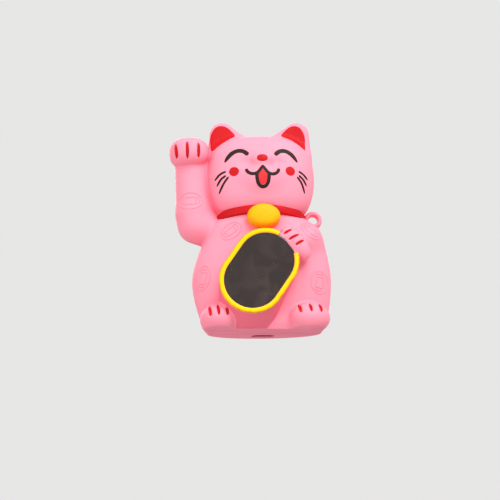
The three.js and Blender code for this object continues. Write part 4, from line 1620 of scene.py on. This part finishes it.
def screw_tree(finish):
    """Instances of a pan-head screw with a cross recess on the mesh's points."""
    names = ("Head Radius", "Head Height", "Shank Radius", "Shank Length")
    tree, sockets = new_tree("case_screws", {name: "NodeSocketFloat" for name in names})
    given = tree.nodes.new("NodeGroupInput").outputs
    head, shank = [
        add_node(tree, "GeometryNodeMeshCylinder", {
            "Vertices": sides, "Radius": given[f"{part} Radius"], "Depth": given[length],
        }).outputs["Mesh"]
        for part, length, sides in (("Head", "Head Height", 40), ("Shank", "Shank Length", 20))
    ]
    half = add_node(tree, "ShaderNodeMath", {0: given["Shank Length"], 1: -0.5}, operation="MULTIPLY")
    place = add_node(tree, "ShaderNodeCombineXYZ", {"Z": half.outputs[0]})
    feeds = {"Geometry": shank, "Translation": place.outputs[0]}
    drop = add_node(tree, "GeometryNodeTransform", feeds)
    both = add_node(tree, "GeometryNodeJoinGeometry")
    for part in (cross_recess(tree, head), drop.outputs[0]):
        tree.links.new(part, both.inputs[0])
    feeds = {"Geometry": both.outputs[0], "Rotation": (-math.pi / 2, 0.0, 0.0)}
    turn = add_node(tree, "GeometryNodeTransform", feeds)
    feeds = {"Points": given["Geometry"], "Instance": turn.outputs[0]}
    spread = add_node(tree, "GeometryNodeInstanceOnPoints", feeds)
    end_tree(tree, spread.outputs[0], finish)
    return tree, sockets


class CAT_OT_screws(bpy.types.Operator):
    """Sets the case screws in their bosses."""

    bl_idname = "cat.screws"
    bl_label = "Case Screws"

    def execute(self, context):
        nodes = [f"case_screw_{i}" for i in range(1, 5)]
        boxes = [node_box(node) for node in nodes]
        spots = [
            ((low[0] + high[0]) / 2, high[1] - SCREW_HEAD / 2, (low[2] + high[2]) / 2) for low, high in boxes
        ]
        tree, sockets = screw_tree(finish_for("steel"))
        low, high = boxes[0]
        made = grown(raw_object("case_screws", spots, []), tree, sockets, {
            "Head Radius": (high[0] - low[0]) / 2, "Head Height": SCREW_HEAD,
            "Shank Radius": SHANK_RADIUS, "Shank Length": high[1] - low[1] - SCREW_HEAD / 2,
        })
        mount(made, "steel", nodes, angle=35.0)
        return {"FINISHED"}


SPRING = {"wire": 0.22, "turns": 4.0, "flat_share": 0.12, "steps": 150, "travel": 0.7}


class CAT_OT_spring(bpy.types.Operator):
    """Coils the connector's return spring as a fixed coil; the real spring shortens as the centre pin is
    pressed.
    """

    bl_idname = "cat.spring"
    bl_label = "Return Spring"

    def execute(self, context):
        low, high = node_box("pin_spring")
        middle = (low + high) / 2
        wire, flat = SPRING["wire"], SPRING["flat_share"]
        reach = (high[0] - low[0]) / 2 - wire
        t = np.linspace(0, 1, SPRING["steps"])
        height = high[2] - low[2] - 2 * wire
        rise = np.clip((t - flat) / (1 - 2 * flat), 0, 1) * height
        turn = t * SPRING["turns"] * 2 * math.pi
        x, y = middle[0] + reach * np.cos(turn), middle[1] + reach * np.sin(turn)
        path = np.stack([x, y, low[2] + wire + rise], 1)
        made = bead("return_spring", [(path, False)], wire, 10, finish_for("steel"))
        mount(made, "steel", ["pin_spring"], angle=60.0)
        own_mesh(made)
        return {"FINISHED"}


class CAT_OT_inside(bpy.types.Operator):
    """Gives the parts kept from the frame their own finishes."""

    bl_idname = "cat.inside"
    bl_label = "Inner Parts"

    def execute(self, context):
        slots = {row["node"]: row["material_slot"] for row in frame["record"]["subparts"]}
        for name, made in frame["nodes"].items():
            if not made.hide_render:
                for place in made.material_slots:
                    place.material = finish_for(slots[name])
        return {"FINISHED"}


# ---- Panel and running -------------------------------------------------------------------
OPERATORS = (
    CAT_OT_stage,
    CAT_OT_shells,
    CAT_OT_coin,
    CAT_OT_collar,
    CAT_OT_face,
    CAT_OT_claws,
    CAT_OT_motifs,
    CAT_OT_well,
    CAT_OT_button,
    CAT_OT_screws,
    CAT_OT_spring,
    CAT_OT_inside,
)


class CAT_PT_panel(bpy.types.Panel):
    """Lists the cat's pieces."""

    bl_idname = "CAT_PT_panel"
    bl_label = "Cat Battery"
    bl_space_type = "VIEW_3D"
    bl_region_type = "UI"
    bl_category = "Cat Battery"

    def draw(self, context):
        column = self.layout.column()
        for operator in OPERATORS:
            column.operator(operator.bl_idname)


CLASSES = (CatSizes, CatColours, *OPERATORS, CAT_PT_panel)


def register():
    for each in CLASSES:
        bpy.utils.register_class(each)
    bpy.types.Scene.cat_sizes = PointerProperty(type=CatSizes)
    bpy.types.Scene.cat_colours = PointerProperty(type=CatColours)


def unregister():
    del bpy.types.Scene.cat_colours
    del bpy.types.Scene.cat_sizes
    for each in reversed(CLASSES):
        bpy.utils.unregister_class(each)


def main():
    register()
    for operator in OPERATORS:
        getattr(bpy.ops.cat, operator.bl_idname.split(".")[1])()


if __name__ == "__main__":
    main()
